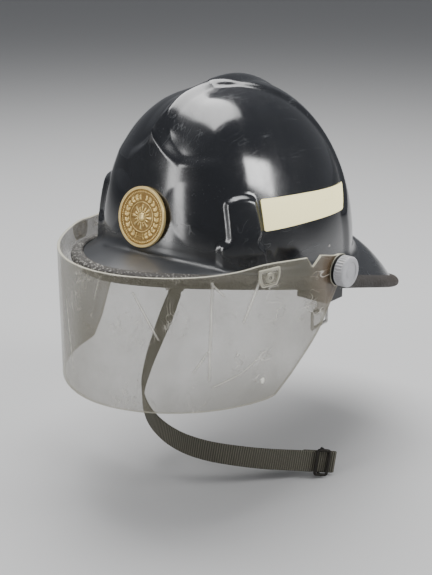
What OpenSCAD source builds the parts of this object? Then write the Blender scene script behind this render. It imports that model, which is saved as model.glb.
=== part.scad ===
// Fire helmet with a hinged clear face shield, a rubber brim edge and an adjustable headband.
// +Z is up, the front faces -Y and the wearer's left side is +X.
// The origin is the middle of the head opening, level with the top edge of the lowered shield.

/* [Shell] */
// Half of the dome's width at its foot
dome_half_width = 95; // [88:0.5:100]
// Distance from the dome's middle to its front
dome_front = 113; // [106:0.5:118]
// Distance from the dome's middle to its rear
dome_rear = 124.5; // [116:0.5:130]
// How far the dome's middle sits from the origin, along Y
dome_mid_y = -16; // [-20:0.5:-12]
// Height of the bare dome above the origin
crown_height = 129; // [122:0.5:138]
// Thickness of the moulded shell
shell_wall = 3.2; // [2.4:0.1:4]

/* [Raised forms of the shell] */
// Distance of the front panel's wall ahead of the origin, at medallion height
panel_front = 129; // [126:0.5:131]
// Backward lean of the panel's wall, as run over rise
panel_lean = 0.2; // [0.14:0.01:0.26]
// Radius of the panel's wall seen from above
panel_radius = 100; // [85:1:125]
// Height of the pointed top of the front panel
panel_top = 103; // [96:1:108]
// Half of the crown rib's width
rib_half_width = 13; // [10:0.5:17]
// Height of the crown rib
rib_height = 3.5; // [2:0.1:5]
// Y place where the crown rib ends
rib_end_y = 46; // [30:1:60]
// Height of the raised rear panel
rear_panel_height = 3; // [1.5:0.1:4.5]
// How far each accessory boss stands proud
boss_height = 4.5; // [3:0.1:5.5]
// Height of each boss's top above the origin
boss_top = 54; // [46:1:60]

/* [Brim] */
// Half of the width over the edge trim
brim_half_width = 117; // [115:0.5:122]
// Distance from the dome's middle to the front of the edge trim
brim_front = 169; // [160:1:176]
// Distance from the dome's middle to the rear of the edge trim
brim_rear = 206; // [195:1:216]
// Height of the brim's lip at the front, from the origin
lip_front_z = -4.3; // [-8:0.1:0]
// Drop of the lip from the front to the rear
lip_drop = 92; // [84:1:98]
// Fall of the brim per length at the sides
brim_slope = 0.57; // [0.5:0.01:0.64]
// Extra fall per length at the rear, and less at the front
brim_slope_swing = 0.44; // [0.36:0.01:0.48]
// Upward bow of the rear brim between the dome and the trim, as a share of its run
brim_bow = 0.11; // [0.04:0.01:0.14]

/* [Edge trim] */
// Depth of the rubber edge trim, from its outer side inward
trim_depth = 11; // [9:0.5:12]
// Height of the trim above the brim's upper face
trim_rise = 3.4; // [2.5:0.1:5]
// Height of the trim below the brim's lower face
trim_fall = 5; // [3.5:0.1:6]
// Rubber left outside the lip
trim_nose = 4.7; // [3.5:0.1:5.5]

/* [Medallion] */
// Diameter of the medallion
medallion_d = 50.8; // [44:0.2:56]
// Thickness of the medallion
medallion_t = 3; // [2:0.1:4]
// Height of the medallion's middle
medallion_z = 30.4; // [28:0.2:36]
// Width of the raised rim
medallion_rim = 3; // [2:0.1:4]
// Diameter of each medallion post
post_d = 3; // [2:0.1:4]
// Distance between the two posts
post_spacing = 26; // [18:1:32]

/* [Marking strips] */
// Height of each strip at its front end
strip_h_front = 26; // [22:0.5:28]
// Height of each strip at its rear end
strip_h_rear = 21; // [18:0.5:26]
// Thickness of the strip film
strip_t = 0.5; // [0.3:0.05:1]

/* [Face shield] */
// How much narrower, each side, the shield's bowed part is than the edge trim
shield_inset = 7; // [5.5:0.5:8]
// Distance from the shield's widest line to its front
shield_bow = 120.4; // [114:0.2:126]
// Y place of the line where the bowed front part begins
shield_mid_y = -72; // [-76:0.5:-68]
// Height of the shield from top edge to bottom edge
shield_drop = 116; // [100:1:124]
// Thickness of the clear sheet
shield_t = 2.5; // [1.5:0.1:3]
// Y place of the pivot axis
pivot_y = -19.5; // [-22:0.5:-14]
// Z place of the pivot axis
pivot_z = -17.7; // [-20:0.1:-16]
// Outer radius of the rounded ear round the pivot
ear_r = 13.6; // [13:0.1:17]

/* [Pivot] */
// Diameter of the stud's smooth neck in the shield
neck_d = 11; // [9:0.5:13]
// Diameter of the threaded stud end
stud_d = 6; // [5:0.5:8]
// Diameter of the knob
knob_d = 26.6; // [24:0.2:31]
// Height of the knob
knob_h = 8.8; // [8.4:0.2:11]
// Thickness of the clear washer
washer_t = 1.4; // [1:0.1:2]
// Diameter of the clear washer
washer_d = 27.4; // [25:0.2:31]
// Thickness of the rubber gasket
gasket_t = 1.4; // [1:0.1:2]
// Diameter of the rubber gasket
gasket_d = 26.2; // [24:0.2:30]
// Thickness of the bracket's sheet
bracket_t = 2; // [1.5:0.1:2.5]
// Width of the bracket
bracket_w = 24; // [21:1:27]
// Radial clearance of every turning fit
run_fit = 0.05; // [0.03:0.01:0.09]
// Gap between faces that only lie beside each other
seat_gap = 0.2; // [0.1:0.05:0.3]
// Thickness of the stud's shoulder between bracket and shield
shoulder_t = 0.5; // [0.3:0.1:1]

/* [Liner and headband] */
// Thickness of the impact liner
liner_t = 9.5; // [8:0.5:12]
// Gap between shell and liner
liner_gap = 1; // [0.8:0.1:1.5]
// Height of the liner's lower edge
liner_base_z = 12; // [8:1:20]
// Half of the headband's inner width
band_half_width = 77; // [74:0.5:79]
// Half of the headband's inner length
band_half_length = 97; // [93:0.5:99]
// Y place of the headband's middle
band_y = -6; // [-8:0.5:-4]
// Height of the headband
band_h = 28; // [22:1:34]
// Thickness of the headband
band_t = 1.6; // [1.2:0.1:2.2]
// Height of the headband's lower edge
band_base_z = -30; // [-36:1:-24]
// Thickness of the brow pad
brow_t = 4; // [2.5:0.5:6]
// Width of the crown straps
crown_strap_w = 19; // [15:1:25]
// Thickness of the crown straps
crown_strap_t = 1.2; // [0.8:0.1:2]

/* [Nape ratchet] */
// Width of the ratchet housing
ratchet_w = 54; // [46:1:62]
// Height of the ratchet housing
ratchet_h = 30; // [26:1:36]
// Depth of the ratchet housing
ratchet_depth = 9; // [7:0.5:11]
// Diameter of the ratchet knob
ratchet_knob_d = 27; // [24:1:30]
// Height of the ratchet knob
ratchet_knob_h = 10; // [8:0.5:12]
// Z place of the nape strap's middle
nape_z = -50; // [-56:1:-46]

/* [Chin strap] */
// Width of the chin strap webbing
strap_w = 20; // [17:0.5:25]
// Thickness of the chin strap webbing
strap_t = 1.6; // [1.2:0.1:2.2]
// Wire diameter of the strap rings
ring_wire_d = 3; // [2.5:0.1:3.5]
// Wire diameter of the strap slide
slide_wire_d = 2.6; // [2:0.1:3]

/* [Hidden] */

// Colours of the finishes
black_gloss = [0.045, 0.048, 0.055];
rubber_grey = [0.33, 0.32, 0.31];
gold = [0.86, 0.70, 0.38];
cream = [0.93, 0.92, 0.78];
clear_haze = [0.78, 0.76, 0.68, 0.45];
knob_grey = [0.72, 0.72, 0.74];
black_metal = [0.10, 0.10, 0.11];
steel = [0.60, 0.60, 0.62];
foam_grey = [0.30, 0.30, 0.31];
olive = [0.30, 0.28, 0.20];
band_black = [0.08, 0.08, 0.09];

// Base of the dome's height scale, below the lowest point of its foot
dome_base_z = -25;
// Exponents of the dome's outline seen from above and of its profile seen from the side
plan_power_front = 2.8;
plan_power_rear = 2.3;
side_power = 2;
front_power = 2.5;
// Exponents of the lip's outline seen from above
lip_power_front = 1.85;
lip_power_rear = 2.5;
lip_drop_power = 1.44;
// Fillet between dome and brim
foot_fillet = 8;
// Gap between the lip and the walls of the trim's channel
trim_slot_gap = 0.3;
// Boss: its middle, its direction along the wall and its outward direction
boss_mid = [77, -97];
boss_along = [0.43, 0.90];
boss_out = [0.90, -0.43];

// Directions round the dome, closer together across the bosses
half_turn_steps = [for (i = [0:5]) -90 + 5 * i,
    for (i = [0:11]) -60 + 28 / 12 * i,
    for (i = [0:22]) -32 + 122 / 22 * i];
turn = concat(half_turn_steps, [for (i = [len(half_turn_steps) - 2:-1:1]) 180 - half_turn_steps[i]]);
turn_count = len(turn);
// Direction of the rear, from the dome's middle
rear_way = 90;
low_rows = 11;
crease_rows = 3;
high_rows = 12;
inner_rows = 9;

function clamp01(u) = min(1, max(0, u));
function smooth(u) = let (c = clamp01(u)) c * c * (3 - 2 * c);
function unit(v) = v / norm(v);

// Distance from the middle to a superellipse that has its own length ahead and behind
function plan_reach(a, half_w, front, rear, pf, pr) =
    let (len_y = sin(a) < 0 ? front : rear, p = sin(a) < 0 ? pf : pr)
    pow(pow(abs(cos(a)) / half_w, p) + pow(abs(sin(a)) / len_y, p), -1 / p);

// Height exponent of the dome in a direction
function profile_power(a) =
    sin(a) < 0 ? side_power + (front_power - side_power) * pow(sin(a), 2) : side_power;

// Bare dome, off millimetres inside the outer surface; t runs from 0 at its base to 90 at the crown
function dome_point(a, t, off) =
    let (p = profile_power(a),
        r = (plan_reach(a, dome_half_width, dome_front, dome_rear, plan_power_front, plan_power_rear) - off)
            * pow(cos(t), 2 / p),
        z = dome_base_z + (crown_height - off - dome_base_z) * pow(sin(t), 2 / p))
    [r * cos(a), dome_mid_y + r * sin(a), z];

function dome_angle(a, z, off) =
    asin(pow(clamp01((z - dome_base_z) / (crown_height - off - dome_base_z)), profile_power(a) / 2));

function dome_normal(p) =
    unit([p[0] / pow(dome_half_width, 2),
        (p[1] - dome_mid_y) / pow(p[1] < dome_mid_y ? dome_front : dome_rear, 2),
        (p[2] - dome_base_z) / pow(crown_height - dome_base_z, 2)]);

// Softness of the front panel's top edge, and how much softer it is round its point
panel_soft = 9;
panel_point_soft = 6;
panel_point_x = 9;
// How far below its edge the panel stands at its full depth
panel_full_below = 6;
// Fall of the edge from its point, its exponent, and the distance from the middle where it turns level
panel_fall = 2.75;
panel_fall_power = 0.65;
panel_level_x = 28;
// Distance from the middle where the panel ends, and the width of its fade into the dome
panel_side_x = 68;
panel_side_fade = 26;
// Front panel: pushes the dome forward to a leaning, slightly bowed wall below a pointed top edge
function panel_wall_y(x, z) = -panel_front + panel_lean * (z - medallion_z) + x * x / (2 * panel_radius);
function panel_edge_z(x) = panel_top - panel_fall * pow(min(abs(x), panel_level_x), panel_fall_power);
function with_panel(p, off) =
    let (push = max(0, p[1] - panel_wall_y(p[0], p[2]) - off),
        soft = panel_soft + panel_point_soft * exp(-pow(p[0] / panel_point_x, 2)),
        edge = panel_edge_z(p[0]) + soft - panel_full_below,
        share = p[1] < dome_mid_y ? smooth((edge - p[2]) / soft) : 0,
        near = smooth((panel_side_x - abs(p[0])) / panel_side_fade))
    [p[0], p[1] - push * share * near, p[2]];

// Crown rib: width of its sloping sides, height where it starts and the lengths over which it comes and goes
rib_side = 8;
rib_start_z = 88;
rib_start_run = 14;
rib_end_run = 12;
function rib_share(p) = smooth((p[2] - rib_start_z) / rib_start_run);
function rib_rise(p) = rib_height * smooth((rib_half_width - abs(p[0])) / rib_side) * rib_share(p)
    * smooth((rib_end_y - p[1]) / rib_end_run);

// Raised rear panel: it leaves the rib a little inside the rib's edge and widens to the rear
rear_inset = 4.5;
rear_start_y = -42;
rear_spread = 0.55;
// Below this height the panel widens once more, over this much of the height
rear_wide_z = 50;
rear_wide_h = 38;
rear_wide_spread = 0.93;
rear_wide_y = 5;
rear_wide_run = 20;
rear_side = 9;
rear_tip_y = -112;
rear_tip_run = 14;
function rear_edge_x(p) = rib_half_width - rear_inset + rear_spread * max(0, p[1] - rear_start_y)
    + rear_wide_spread * min(rear_wide_h, max(0, rear_wide_z - p[2]))
        * smooth((p[1] - rear_wide_y) / rear_wide_run);
function rear_rise(p) = rear_panel_height * smooth((rear_edge_x(p) - abs(p[0])) / rear_side)
    * smooth((p[1] - rear_tip_y) / rear_tip_run) * (p[1] < 0 ? rib_share(p) : 1);

// Accessory boss: how far it reaches ahead of and behind its middle, and the width of its sloping sides
boss_ahead = 12.5;
boss_behind = 17;
boss_spread = 0.14;
boss_side = 4;
boss_front_side = 2;
// Foot of the boss: its extra reach ahead, its height and the height of the narrow waist above it
boss_foot = 8;
boss_foot_z = 18;
boss_foot_run = 6;
boss_waist = 5;
boss_waist_z = 14;
boss_waist_h = 5;
// Arch of the boss's top edge
boss_arch = 0.02;
boss_arch_mid = 4;
boss_top_run = 5;
// Height of the boss over the wall at a place along the wall and a height above the origin
function boss_rise(p) =
    let (q = (abs(p[0]) - boss_mid[0]) * boss_along[0] + (p[1] - boss_mid[1]) * boss_along[1],
        z = p[2],
        below = max(0, boss_top - z),
        ahead = boss_ahead + boss_foot * smooth((boss_foot_z - z) / boss_foot_run),
        front_side = boss_side + boss_front_side * clamp01(below / boss_top),
        waist = boss_waist * exp(-pow((z - boss_waist_z) / boss_waist_h, 2)),
        behind = boss_behind + boss_spread * below - waist)
    boss_height * smooth((q + ahead) / front_side) * smooth((behind - q) / boss_side)
        * smooth((boss_top - boss_arch * pow(q - boss_arch_mid, 2) - z) / boss_top_run);

// Outer surface of the shell above the brim
function shell_wall_point(a, t, off, boss) =
    let (p = with_panel(dome_point(a, t, off), off),
        rise = rib_rise(p) + rear_rise(p),
        b = boss ? boss_rise(p) : 0,
        n = dome_normal(p))
    p + n * rise + b * [sign(p[0]) * boss_out[0], boss_out[1], 0];

// Lip of the brim, at the trim's outer side
function lip_reach(a) =
    plan_reach(a, brim_half_width, brim_front, brim_rear, lip_power_front, lip_power_rear);
function lip_z(y) = lip_front_z
    - lip_drop * pow(max(0, y - dome_mid_y + brim_front) / (brim_front + brim_rear), lip_drop_power);
function lip_point(a) =
    let (r = lip_reach(a), y = dome_mid_y + r * sin(a))
    [r * cos(a), y, lip_z(y)];
function lip_slope(a) = brim_slope + brim_slope_swing * sin(a);
function lip_outward(a) =
    let (d = lip_point(a + 0.5) - lip_point(a - 0.5))
    unit([d[1], -d[0], 0]);
// A place near the lip: e along the brim from the trim's outer side, n square to the brim's upper face
function lip_frame_point(a, e, n) =
    let (k = lip_slope(a), c = 1 / sqrt(1 + k * k), s = k * c, o = lip_outward(a))
    lip_point(a) + e * (c * o + [0, 0, -s]) + n * (s * o + [0, 0, c]);

// Height of the brim's upper face at a distance from the dome's middle
function brim_z(a, r) = lip_point(a)[2] + lip_slope(a) * (lip_reach(a) - r);
function flat_reach(p) = norm([p[0], p[1] - dome_mid_y]);

function first_wall(a, off, boss) =
    let (foot = plan_reach(a, dome_half_width, dome_front, dome_rear, plan_power_front, plan_power_rear))
    shell_wall_point(a, dome_angle(a, brim_z(a, foot) + foot_fillet, off), off, boss);

// Height turns of one profile: rows below, across and above the panel's top edge
crease_guess_z = 80;
crease_below = 7;
crease_above = 4;
crown_turn = 90;
function at_height(a, z) = dome_point(a, dome_angle(a, z, 0), 0);
function crease_z(a) =
    let (p = at_height(a, crease_guess_z), q = at_height(a, panel_edge_z(p[0])))
    panel_edge_z(q[0]);
function wall_turns(a, t0) =
    let (low = dome_angle(a, crease_z(a) - crease_below, 0),
        high = dome_angle(a, crease_z(a) + crease_above, 0))
    [for (k = [0:low_rows - 1]) t0 + (low - t0) * k / low_rows,
        for (k = [0:crease_rows]) low + (high - low) * k / crease_rows,
        for (k = [1:high_rows - 1]) high + (crown_turn - high) * k / high_rows];

// Flat width of the brim beside the trim, the least rounding at the dome's foot, and how much of the room
// between foot and trim the rounding takes
brim_flat = 2;
least_fillet = 1.5;
fillet_share = 0.7;
fillet_spare = 1;
// Drop of the brim's lower face at the dome's foot, in wall thicknesses
foot_wall = 1.15;

// A place on the bowed brim, a share u of the way from its edge e to its foot f
brim_shares = [0.25, 0.5, 0.75];
bow_fade = 0.5;
function bowed(a, e, f, u) =
    let (rise = brim_bow * norm([f[0] - e[0], f[1] - e[1]]) * smooth(sin(a) / bow_fade))
    e + (f - e) * u + [0, 0, 4 * u * (1 - u) * rise];

// One profile of the shell's outer surface, from the lip up to the crown
function outer_profile(a) =
    let (w0 = first_wall(a, 0, true),
        room = lip_reach(a) - trim_depth - brim_flat - fillet_spare - flat_reach(w0),
        f = min(foot_fillet, max(least_fillet, room * fillet_share)),
        z0 = brim_z(a, flat_reach(w0)) + f,
        t0 = dome_angle(a, z0, 0),
        w = shell_wall_point(a, t0, 0, true),
        r = flat_reach(w),
        aw = atan2(w[1] - dome_mid_y, w[0]),
        corner = [w[0], w[1], brim_z(a, r)],
        out = [(r + f) * cos(aw), dome_mid_y + (r + f) * sin(aw), brim_z(a, r + f)],
        edge = lip_frame_point(a, -trim_depth - brim_flat, 0))
    [lip_frame_point(a, -trim_nose, 0), edge, for (u = brim_shares) bowed(a, edge, out, u), out,
        for (u = [0.75, 0.5, 0.25]) u * u * out + 2 * u * (1 - u) * corner + (1 - u) * (1 - u) * w,
        for (t = wall_turns(a, t0)) shell_wall_point(a, t, 0, true)];

// One profile of the shell's inner surface, from the lip up to the crown
function inner_profile(a) =
    let (w = first_wall(a, shell_wall, false),
        r = flat_reach(w),
        aw = atan2(w[1] - dome_mid_y, w[0]),
        corner = [w[0], w[1], brim_z(a, r) - shell_wall * foot_wall],
        edge = lip_frame_point(a, -trim_depth - brim_flat, -shell_wall),
        t0 = dome_angle(a, w[2], shell_wall))
    [lip_frame_point(a, -trim_nose, -shell_wall),
        edge,
        for (u = brim_shares) bowed(a, edge, corner, u),
        corner,
        for (k = [0:inner_rows - 1])
            shell_wall_point(a, t0 + (crown_turn - t0) * k / inner_rows, shell_wall, false)];

// Faces that join rings of equal length; ring 0 is the lowest, and the pole closes the last one
function band_faces(first, n, flip) =
    [for (i = [0:n - 1]) let (j = (i + 1) % n, p = first + i, q = first + j)
        for (f = flip ? [[p, q + n, q], [p, p + n, q + n]] : [[p, q, q + n], [p, q + n, p + n]]) f];
function cap_faces(first, n, pole, flip) =
    [for (i = [0:n - 1]) let (p = first + i, q = first + (i + 1) % n) flip ? [p, pole, q] : [p, q, pole]];

// Closed solid between an outer and an inner set of profiles, each with its own pole
module domed_wall(outer, inner, outer_pole, inner_pole) {
    n = len(outer);
    mo = len(outer[0]);
    mi = len(inner[0]);
    points = concat([for (k = [0:mo - 1]) for (i = [0:n - 1]) outer[i][k]],
        [for (k = [0:mi - 1]) for (i = [0:n - 1]) inner[i][k]], [outer_pole, inner_pole]);
    faces = concat([for (k = [0:mo - 2]) each band_faces(k * n, n, true)],
        cap_faces((mo - 1) * n, n, (mo + mi) * n, true),
        [for (k = [0:mi - 2]) each band_faces((mo + k) * n, n, false)],
        cap_faces((mo + mi - 1) * n, n, (mo + mi) * n + 1, false),
        [for (i = [0:n - 1]) let (j = (i + 1) % n)
            for (f = [[i, j, mo * n + j], [i, mo * n + j, mo * n + i]]) f]);
    polyhedron(points = points, faces = faces, convexity = 10);
}

// Closed loop swept from one section of m points at each of n places
module swept_loop(rings) {
    n = len(rings);
    m = len(rings[0]);
    points = [for (ring = rings) each ring];
    faces = [for (i = [0:n - 1]) let (j = (i + 1) % n) for (k = [0:m - 1]) let (l = (k + 1) % m)
        for (f = [[i * m + k, j * m + k, j * m + l], [i * m + k, j * m + l, i * m + l]]) f];
    polyhedron(points = points, faces = faces, convexity = 10);
}

// Open run swept from one section of m points at each of n places, closed at both ends
module swept_run(rings) {
    n = len(rings);
    m = len(rings[0]);
    points = [for (ring = rings) each ring];
    faces = concat([for (i = [0:n - 2]) for (k = [0:m - 1]) let (l = (k + 1) % m)
            let (p = i * m, q = p + m) for (f = [[p + k, q + k, q + l], [p + k, q + l, p + l]]) f],
        [for (k = [1:m - 2]) [0, k, k + 1]],
        [for (k = [1:m - 2]) [(n - 1) * m, (n - 1) * m + k + 1, (n - 1) * m + k]]);
    polyhedron(points = points, faces = faces, convexity = 10);
}

// Mirrors the children to one side: 1 is the wearer's left, -1 the right
module side(s) {
    if (s > 0) children();
    else mirror([1, 0, 0]) children();
}

module shell() {
    color(black_gloss)
        domed_wall([for (a = turn) outer_profile(a)], [for (a = turn) inner_profile(a)],
            shell_wall_point(rear_way, crown_turn, 0, false),
            shell_wall_point(rear_way, crown_turn, shell_wall, false));
}

// Rubber channel that grips the lip all the way round
trim_corner = 1.6;
module edge_trim() {
    g = trim_slot_gap;
    s = shell_wall;
    d = trim_depth;
    c = trim_corner;
    up = trim_rise;
    down = -s - trim_fall;
    section = [[-d, g], [-d + c, up * 0.75], [-d / 2, up], [-c, up * 0.6], [0, -s / 2],
        [-c, -s - trim_fall * 0.6], [-d / 2, down], [-d + c, -s - trim_fall * 0.75], [-d, -s - g],
        [-trim_nose + g, -s - g], [-trim_nose + g, g]];
    color(rubber_grey)
        swept_loop([for (a = turn) [for (q = section) lip_frame_point(a, q[0], q[1])]]);
}

// Places children on the front panel, with +Z along the panel's outward direction
module on_panel() {
    translate([0, -panel_front - seat_gap, medallion_z])
        rotate([90 - atan(panel_lean), 0, 0])
            children();
}

medallion_corner = 0.6;
module medallion() {
    r = medallion_d / 2;
    t = medallion_t;
    w = medallion_rim;
    c = medallion_corner;
    color(gold) on_panel()
        rotate_extrude($fn = 72)
            polygon([[0, 0], [r - c, 0], [r, c], [r, t - c], [r - c, t], [r - w + c, t], [r - w, t - 1],
                [r * 0.62, t - 1], [r * 0.58, t - c], [r * 0.54, t - 1], [r * 0.3, t - c], [0, t - c / 2]]);
}

post_len = 6;
module medallion_posts() {
    color(steel) on_panel()
        for (x = [-post_spacing / 2, post_spacing / 2])
            translate([x, 0, -post_len]) cylinder(d = post_d, h = post_len - seat_gap, $fn = 24);
}

// Pale film that follows the shell between the boss and the rear panel
strip_lift = 0.85;
strip_from = -35.6;
strip_span = 73.8;
// Slant of the strip's ends, as the turn from the lower to the upper corner
strip_front_slant = 1.4;
strip_rear_slant = 9.4;
strip_mid_z = 34.5;
strip_fall = 7.5;
function strip_point(u, v, lift) =
    let (slant = (strip_rear_slant + strip_front_slant) * u - strip_front_slant,
        a = strip_from + strip_span * u + slant * (v - 0.5),
        mid = strip_mid_z - strip_fall * u,
        h = strip_h_front + (strip_h_rear - strip_h_front) * u,
        p = shell_wall_point(a, dome_angle(a, mid + (v - 0.5) * h, 0), 0, false))
    p + dome_normal(p) * lift;
module marking_strip() {
    n = 18;
    rows = [0, 1 / 3, 2 / 3, 1];
    color(cream)
        swept_run([for (i = [0:n]) let (u = i / n)
            [for (v = rows) strip_point(u, v, strip_lift),
                for (v = rows) strip_point(u, 1 - v, strip_lift + strip_t)]]);
}

// Plan of the shield's outer face: half of it from the front middle to the ear
leg_gap = 0.3;
bracket_inner_x = brim_half_width + leg_gap;
bracket_x = bracket_inner_x + bracket_t;
ear_x = bracket_x + shoulder_t + seat_gap + shield_t;
shield_half_width = brim_half_width - shield_inset;
flare_start = -88;
flare_end = -40;
flare = ear_x - shield_half_width;
bow_power = 1.92;
bow_steps = 15;
bow_end = 8;
// V notch in the top edge, ahead of the ear
notch_y = -54;
notch_depth = 9;
notch_front = 5.5;
notch_rear = 9;
ear_columns = concat([shield_mid_y, -66, notch_y - notch_front, notch_y, notch_y + notch_rear],
    [-39, -34, -29, -24],
    [for (i = [0:7]) pivot_y + ear_r * sin(i * 90 / 7)]);
function bow_point(a) = [shield_half_width * pow(cos(a), 2 / bow_power),
    shield_mid_y - shield_bow * pow(sin(a), 2 / bow_power)];
function flared(p) = [p[0] + flare * smooth((p[1] - flare_start) / (flare_end - flare_start)), p[1]];
half_plan = concat([for (i = [0:bow_steps]) flared(bow_point(90 - i * (90 - bow_end) / bow_steps))],
    [for (y = ear_columns) flared([shield_half_width, y])]);
shield_plan = concat([for (i = [len(half_plan) - 1:-1:1]) [-half_plan[i][0], half_plan[i][1]]], half_plan);
// Slanted rear edge, from the rounded bottom corner up to the ear; line_lead is how far the slant's own line
// starts behind the corner's
rear_edge_slope = 0.99;
rear_edge_y = -94.5;
corner_run = 8;
corner_rise = 2;
line_lead = 6;
least_height = 0.02;
// The top edge climbs from the front to the sides, with a low hump over each bumper, then sinks to the ear
edge_climb = 1.4;
edge_climb_from = -165;
edge_climb_run = 60;
edge_hump = 1.8;
edge_hump_y = -101;
edge_hump_half = 18;
ear_dip_y = -50;
function top_edge(y) = edge_climb * smooth((y - edge_climb_from) / edge_climb_run)
    + edge_hump * exp(-pow((y - edge_hump_y) / edge_hump_half, 2));
function ear_half_height(y) = sqrt(max(0, ear_r * ear_r - pow(max(0, y - pivot_y), 2)));
function notch(y) =
    notch_depth * max(0, 1 - (y < notch_y ? (notch_y - y) / notch_front : (y - notch_y) / notch_rear));
function shield_top(y) = y > pivot_y ? pivot_z + ear_half_height(y)
    : top_edge(y) + (pivot_z + ear_r - top_edge(y)) * smooth((y - ear_dip_y) / (pivot_y - ear_dip_y))
        - notch(y);
function shield_bottom(y) =
    let (line = -shield_drop + rear_edge_slope * max(0, y - rear_edge_y - line_lead)
        + corner_rise * smooth((y - rear_edge_y) / corner_run))
    y < pivot_y ? line : min(shield_top(y) - least_height, max(line, pivot_z - ear_half_height(y)));

module face_shield() {
    n = len(shield_plan);
    rings = [for (i = [0:n - 1])
        let (p = shield_plan[i],
            q = shield_plan[max(0, i - 1)],
            s = shield_plan[min(n - 1, i + 1)],
            d = p[1] > flare_end ? [0, sign(p[0])] : unit(s - q),
            o = [d[1], -d[0]] * shield_t,
            t = shield_top(p[1]),
            b = shield_bottom(p[1]))
        [[p[0], p[1], b], [p[0], p[1], t], [p[0] - o[0], p[1] - o[1], t], [p[0] - o[0], p[1] - o[1], b]]];
    color(clear_haze) difference() {
        swept_run([for (i = [n - 1:-1:0]) rings[i]]);
        translate([0, pivot_y, pivot_z]) rotate([0, 90, 0])
            cylinder(d = neck_d + 2 * run_fit, h = 4 * ear_x, center = true, $fn = 64);
    }
}

// Moulded bumper with cut lower corners and a round middle, on the shield's outer face near its top edge
bumper_y = -98;
bumper_z = -7.6;
bumper_w = 22;
bumper_h = 15;
bumper_wall = 2.5;
bumper_t = 2;
bumper_floor = 1;
bumper_floor_lap = 0.5;
bumper_cut_w = 3.5;
bumper_cut_h = 7;
bumper_boss_d = 8;
bumper_boss_h = 2.6;
// Outline of the bumper, inset by i; +X points down the shield
module bumper_outline(i) {
    w = bumper_w / 2 - i;
    h = bumper_h / 2 - i;
    polygon([[-h, -w], [-h, w], [h - bumper_cut_h, w], [h, w - bumper_cut_w],
        [h, bumper_cut_w - w], [h - bumper_cut_h, -w]]);
}
module shield_bumper() {
    a = asin(pow((shield_mid_y - bumper_y) / shield_bow, bow_power / 2));
    p = bow_point(a);
    d = bow_point(a - 1) - bow_point(a + 1);
    color(clear_haze)
        translate([p[0], p[1], bumper_z]) rotate([0, 0, atan2(-d[0], d[1])]) rotate([0, 90, 0])
            translate([0, 0, seat_gap]) {
                linear_extrude(bumper_t) difference() {
                    bumper_outline(0);
                    bumper_outline(bumper_wall);
                }
                linear_extrude(bumper_floor) bumper_outline(bumper_wall - bumper_floor_lap);
                cylinder(d = bumper_boss_d, h = bumper_boss_h, $fn = 40);
            }
}

// Everything on the pivot axis is drawn from the ear's outer face outward, along +X
module on_pivot(x) {
    translate([x, pivot_y, pivot_z]) rotate([0, 90, 0]) children();
}
stack_gap = 0.05;
washer_x = ear_x + seat_gap;
gasket_x = washer_x + washer_t + stack_gap;
knob_x = gasket_x + gasket_t + 2 * stack_gap;
stud_reach = 6.2;
wall_in = first_wall(0, shell_wall, false);
upstand_gap = 1;
upstand_x = wall_in[0] - upstand_gap;
upstand_top_z = wall_in[2] - upstand_gap;
web_z = lip_z(pivot_y + bracket_w / 2) - shell_wall - trim_fall - bracket_t;
screw_shank_d = 3.4;
screw_head_d = 7;
screw_spacing = 15;
screw_below_top = 5.5;
screw_z = upstand_top_z - screw_below_top;
screw_head_h = 2;
screw_head_slope = 1.4;
// Share of the wall's thickness that a screw bites into, and the clearance of a screw's or a rivet's hole
screw_bite = 0.8;
hole_gap = 0.2;
head_gap = 0.1;

// Sheet bracket: a leg outside the trim, a web below it and an upstand against the dome's inner wall
module pivot_bracket() {
    low = pivot_y - bracket_w / 2;
    color(black_metal)
        difference() {
            union() {
                translate([bracket_inner_x, low, web_z]) cube([bracket_t, bracket_w, pivot_z - web_z]);
                on_pivot(bracket_inner_x) cylinder(d = bracket_w, h = bracket_t, $fn = 64);
                translate([upstand_x - bracket_t, low, web_z])
                    cube([bracket_x - upstand_x + bracket_t, bracket_w, bracket_t]);
                translate([upstand_x - bracket_t, low, web_z])
                    cube([bracket_t, bracket_w, upstand_top_z - web_z]);
            }
            on_pivot(bracket_inner_x - 1) cylinder(d = stud_d + 2 * run_fit, h = bracket_t + 2, $fn = 48);
            for (y = [-screw_spacing / 2, screw_spacing / 2])
                translate([upstand_x - bracket_t - 1, pivot_y + y, screw_z]) rotate([0, 90, 0])
                    cylinder(d = screw_shank_d + hole_gap, h = bracket_t + 2, $fn = 32);
        }
}

// Pan-head screws that hold both brackets to the dome's wall
module bracket_screws() {
    color(steel)
        for (s = [1, -1]) side(s)
            for (y = [-screw_spacing / 2, screw_spacing / 2])
                translate([upstand_x - bracket_t - head_gap, pivot_y + y, screw_z]) rotate([0, 90, 0]) {
                    cylinder(d = screw_shank_d, h = bracket_t + head_gap + shell_wall * screw_bite, $fn = 32);
                    translate([0, 0, -screw_head_h])
                        cylinder(d1 = screw_head_d - screw_head_slope, d2 = screw_head_d, h = screw_head_h,
                            $fn = 40);
                }
}

// Stud riveted in the bracket: shoulder, smooth neck for the shield and end for the knob
shoulder_d = 18;
shoulder_gap = 0.02;
module pivot_stud() {
    x = bracket_x + shoulder_gap;
    color(steel) {
        on_pivot(bracket_inner_x) cylinder(d = stud_d, h = bracket_t + head_gap, $fn = 48);
        on_pivot(x) cylinder(d = shoulder_d, h = shoulder_t - shoulder_gap, $fn = 64);
        on_pivot(x) cylinder(d = neck_d, h = shoulder_t + seat_gap + shield_t + head_gap, $fn = 64);
        on_pivot(x) cylinder(d = stud_d, h = knob_x + stud_reach - bracket_x, $fn = 48);
    }
}

module pivot_washer() {
    color(clear_haze) on_pivot(washer_x) difference() {
        cylinder(d = washer_d, h = washer_t, $fn = 72);
        translate([0, 0, -1]) cylinder(d = stud_d + 2 * hole_gap, h = washer_t + 2, $fn = 48);
    }
}

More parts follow.
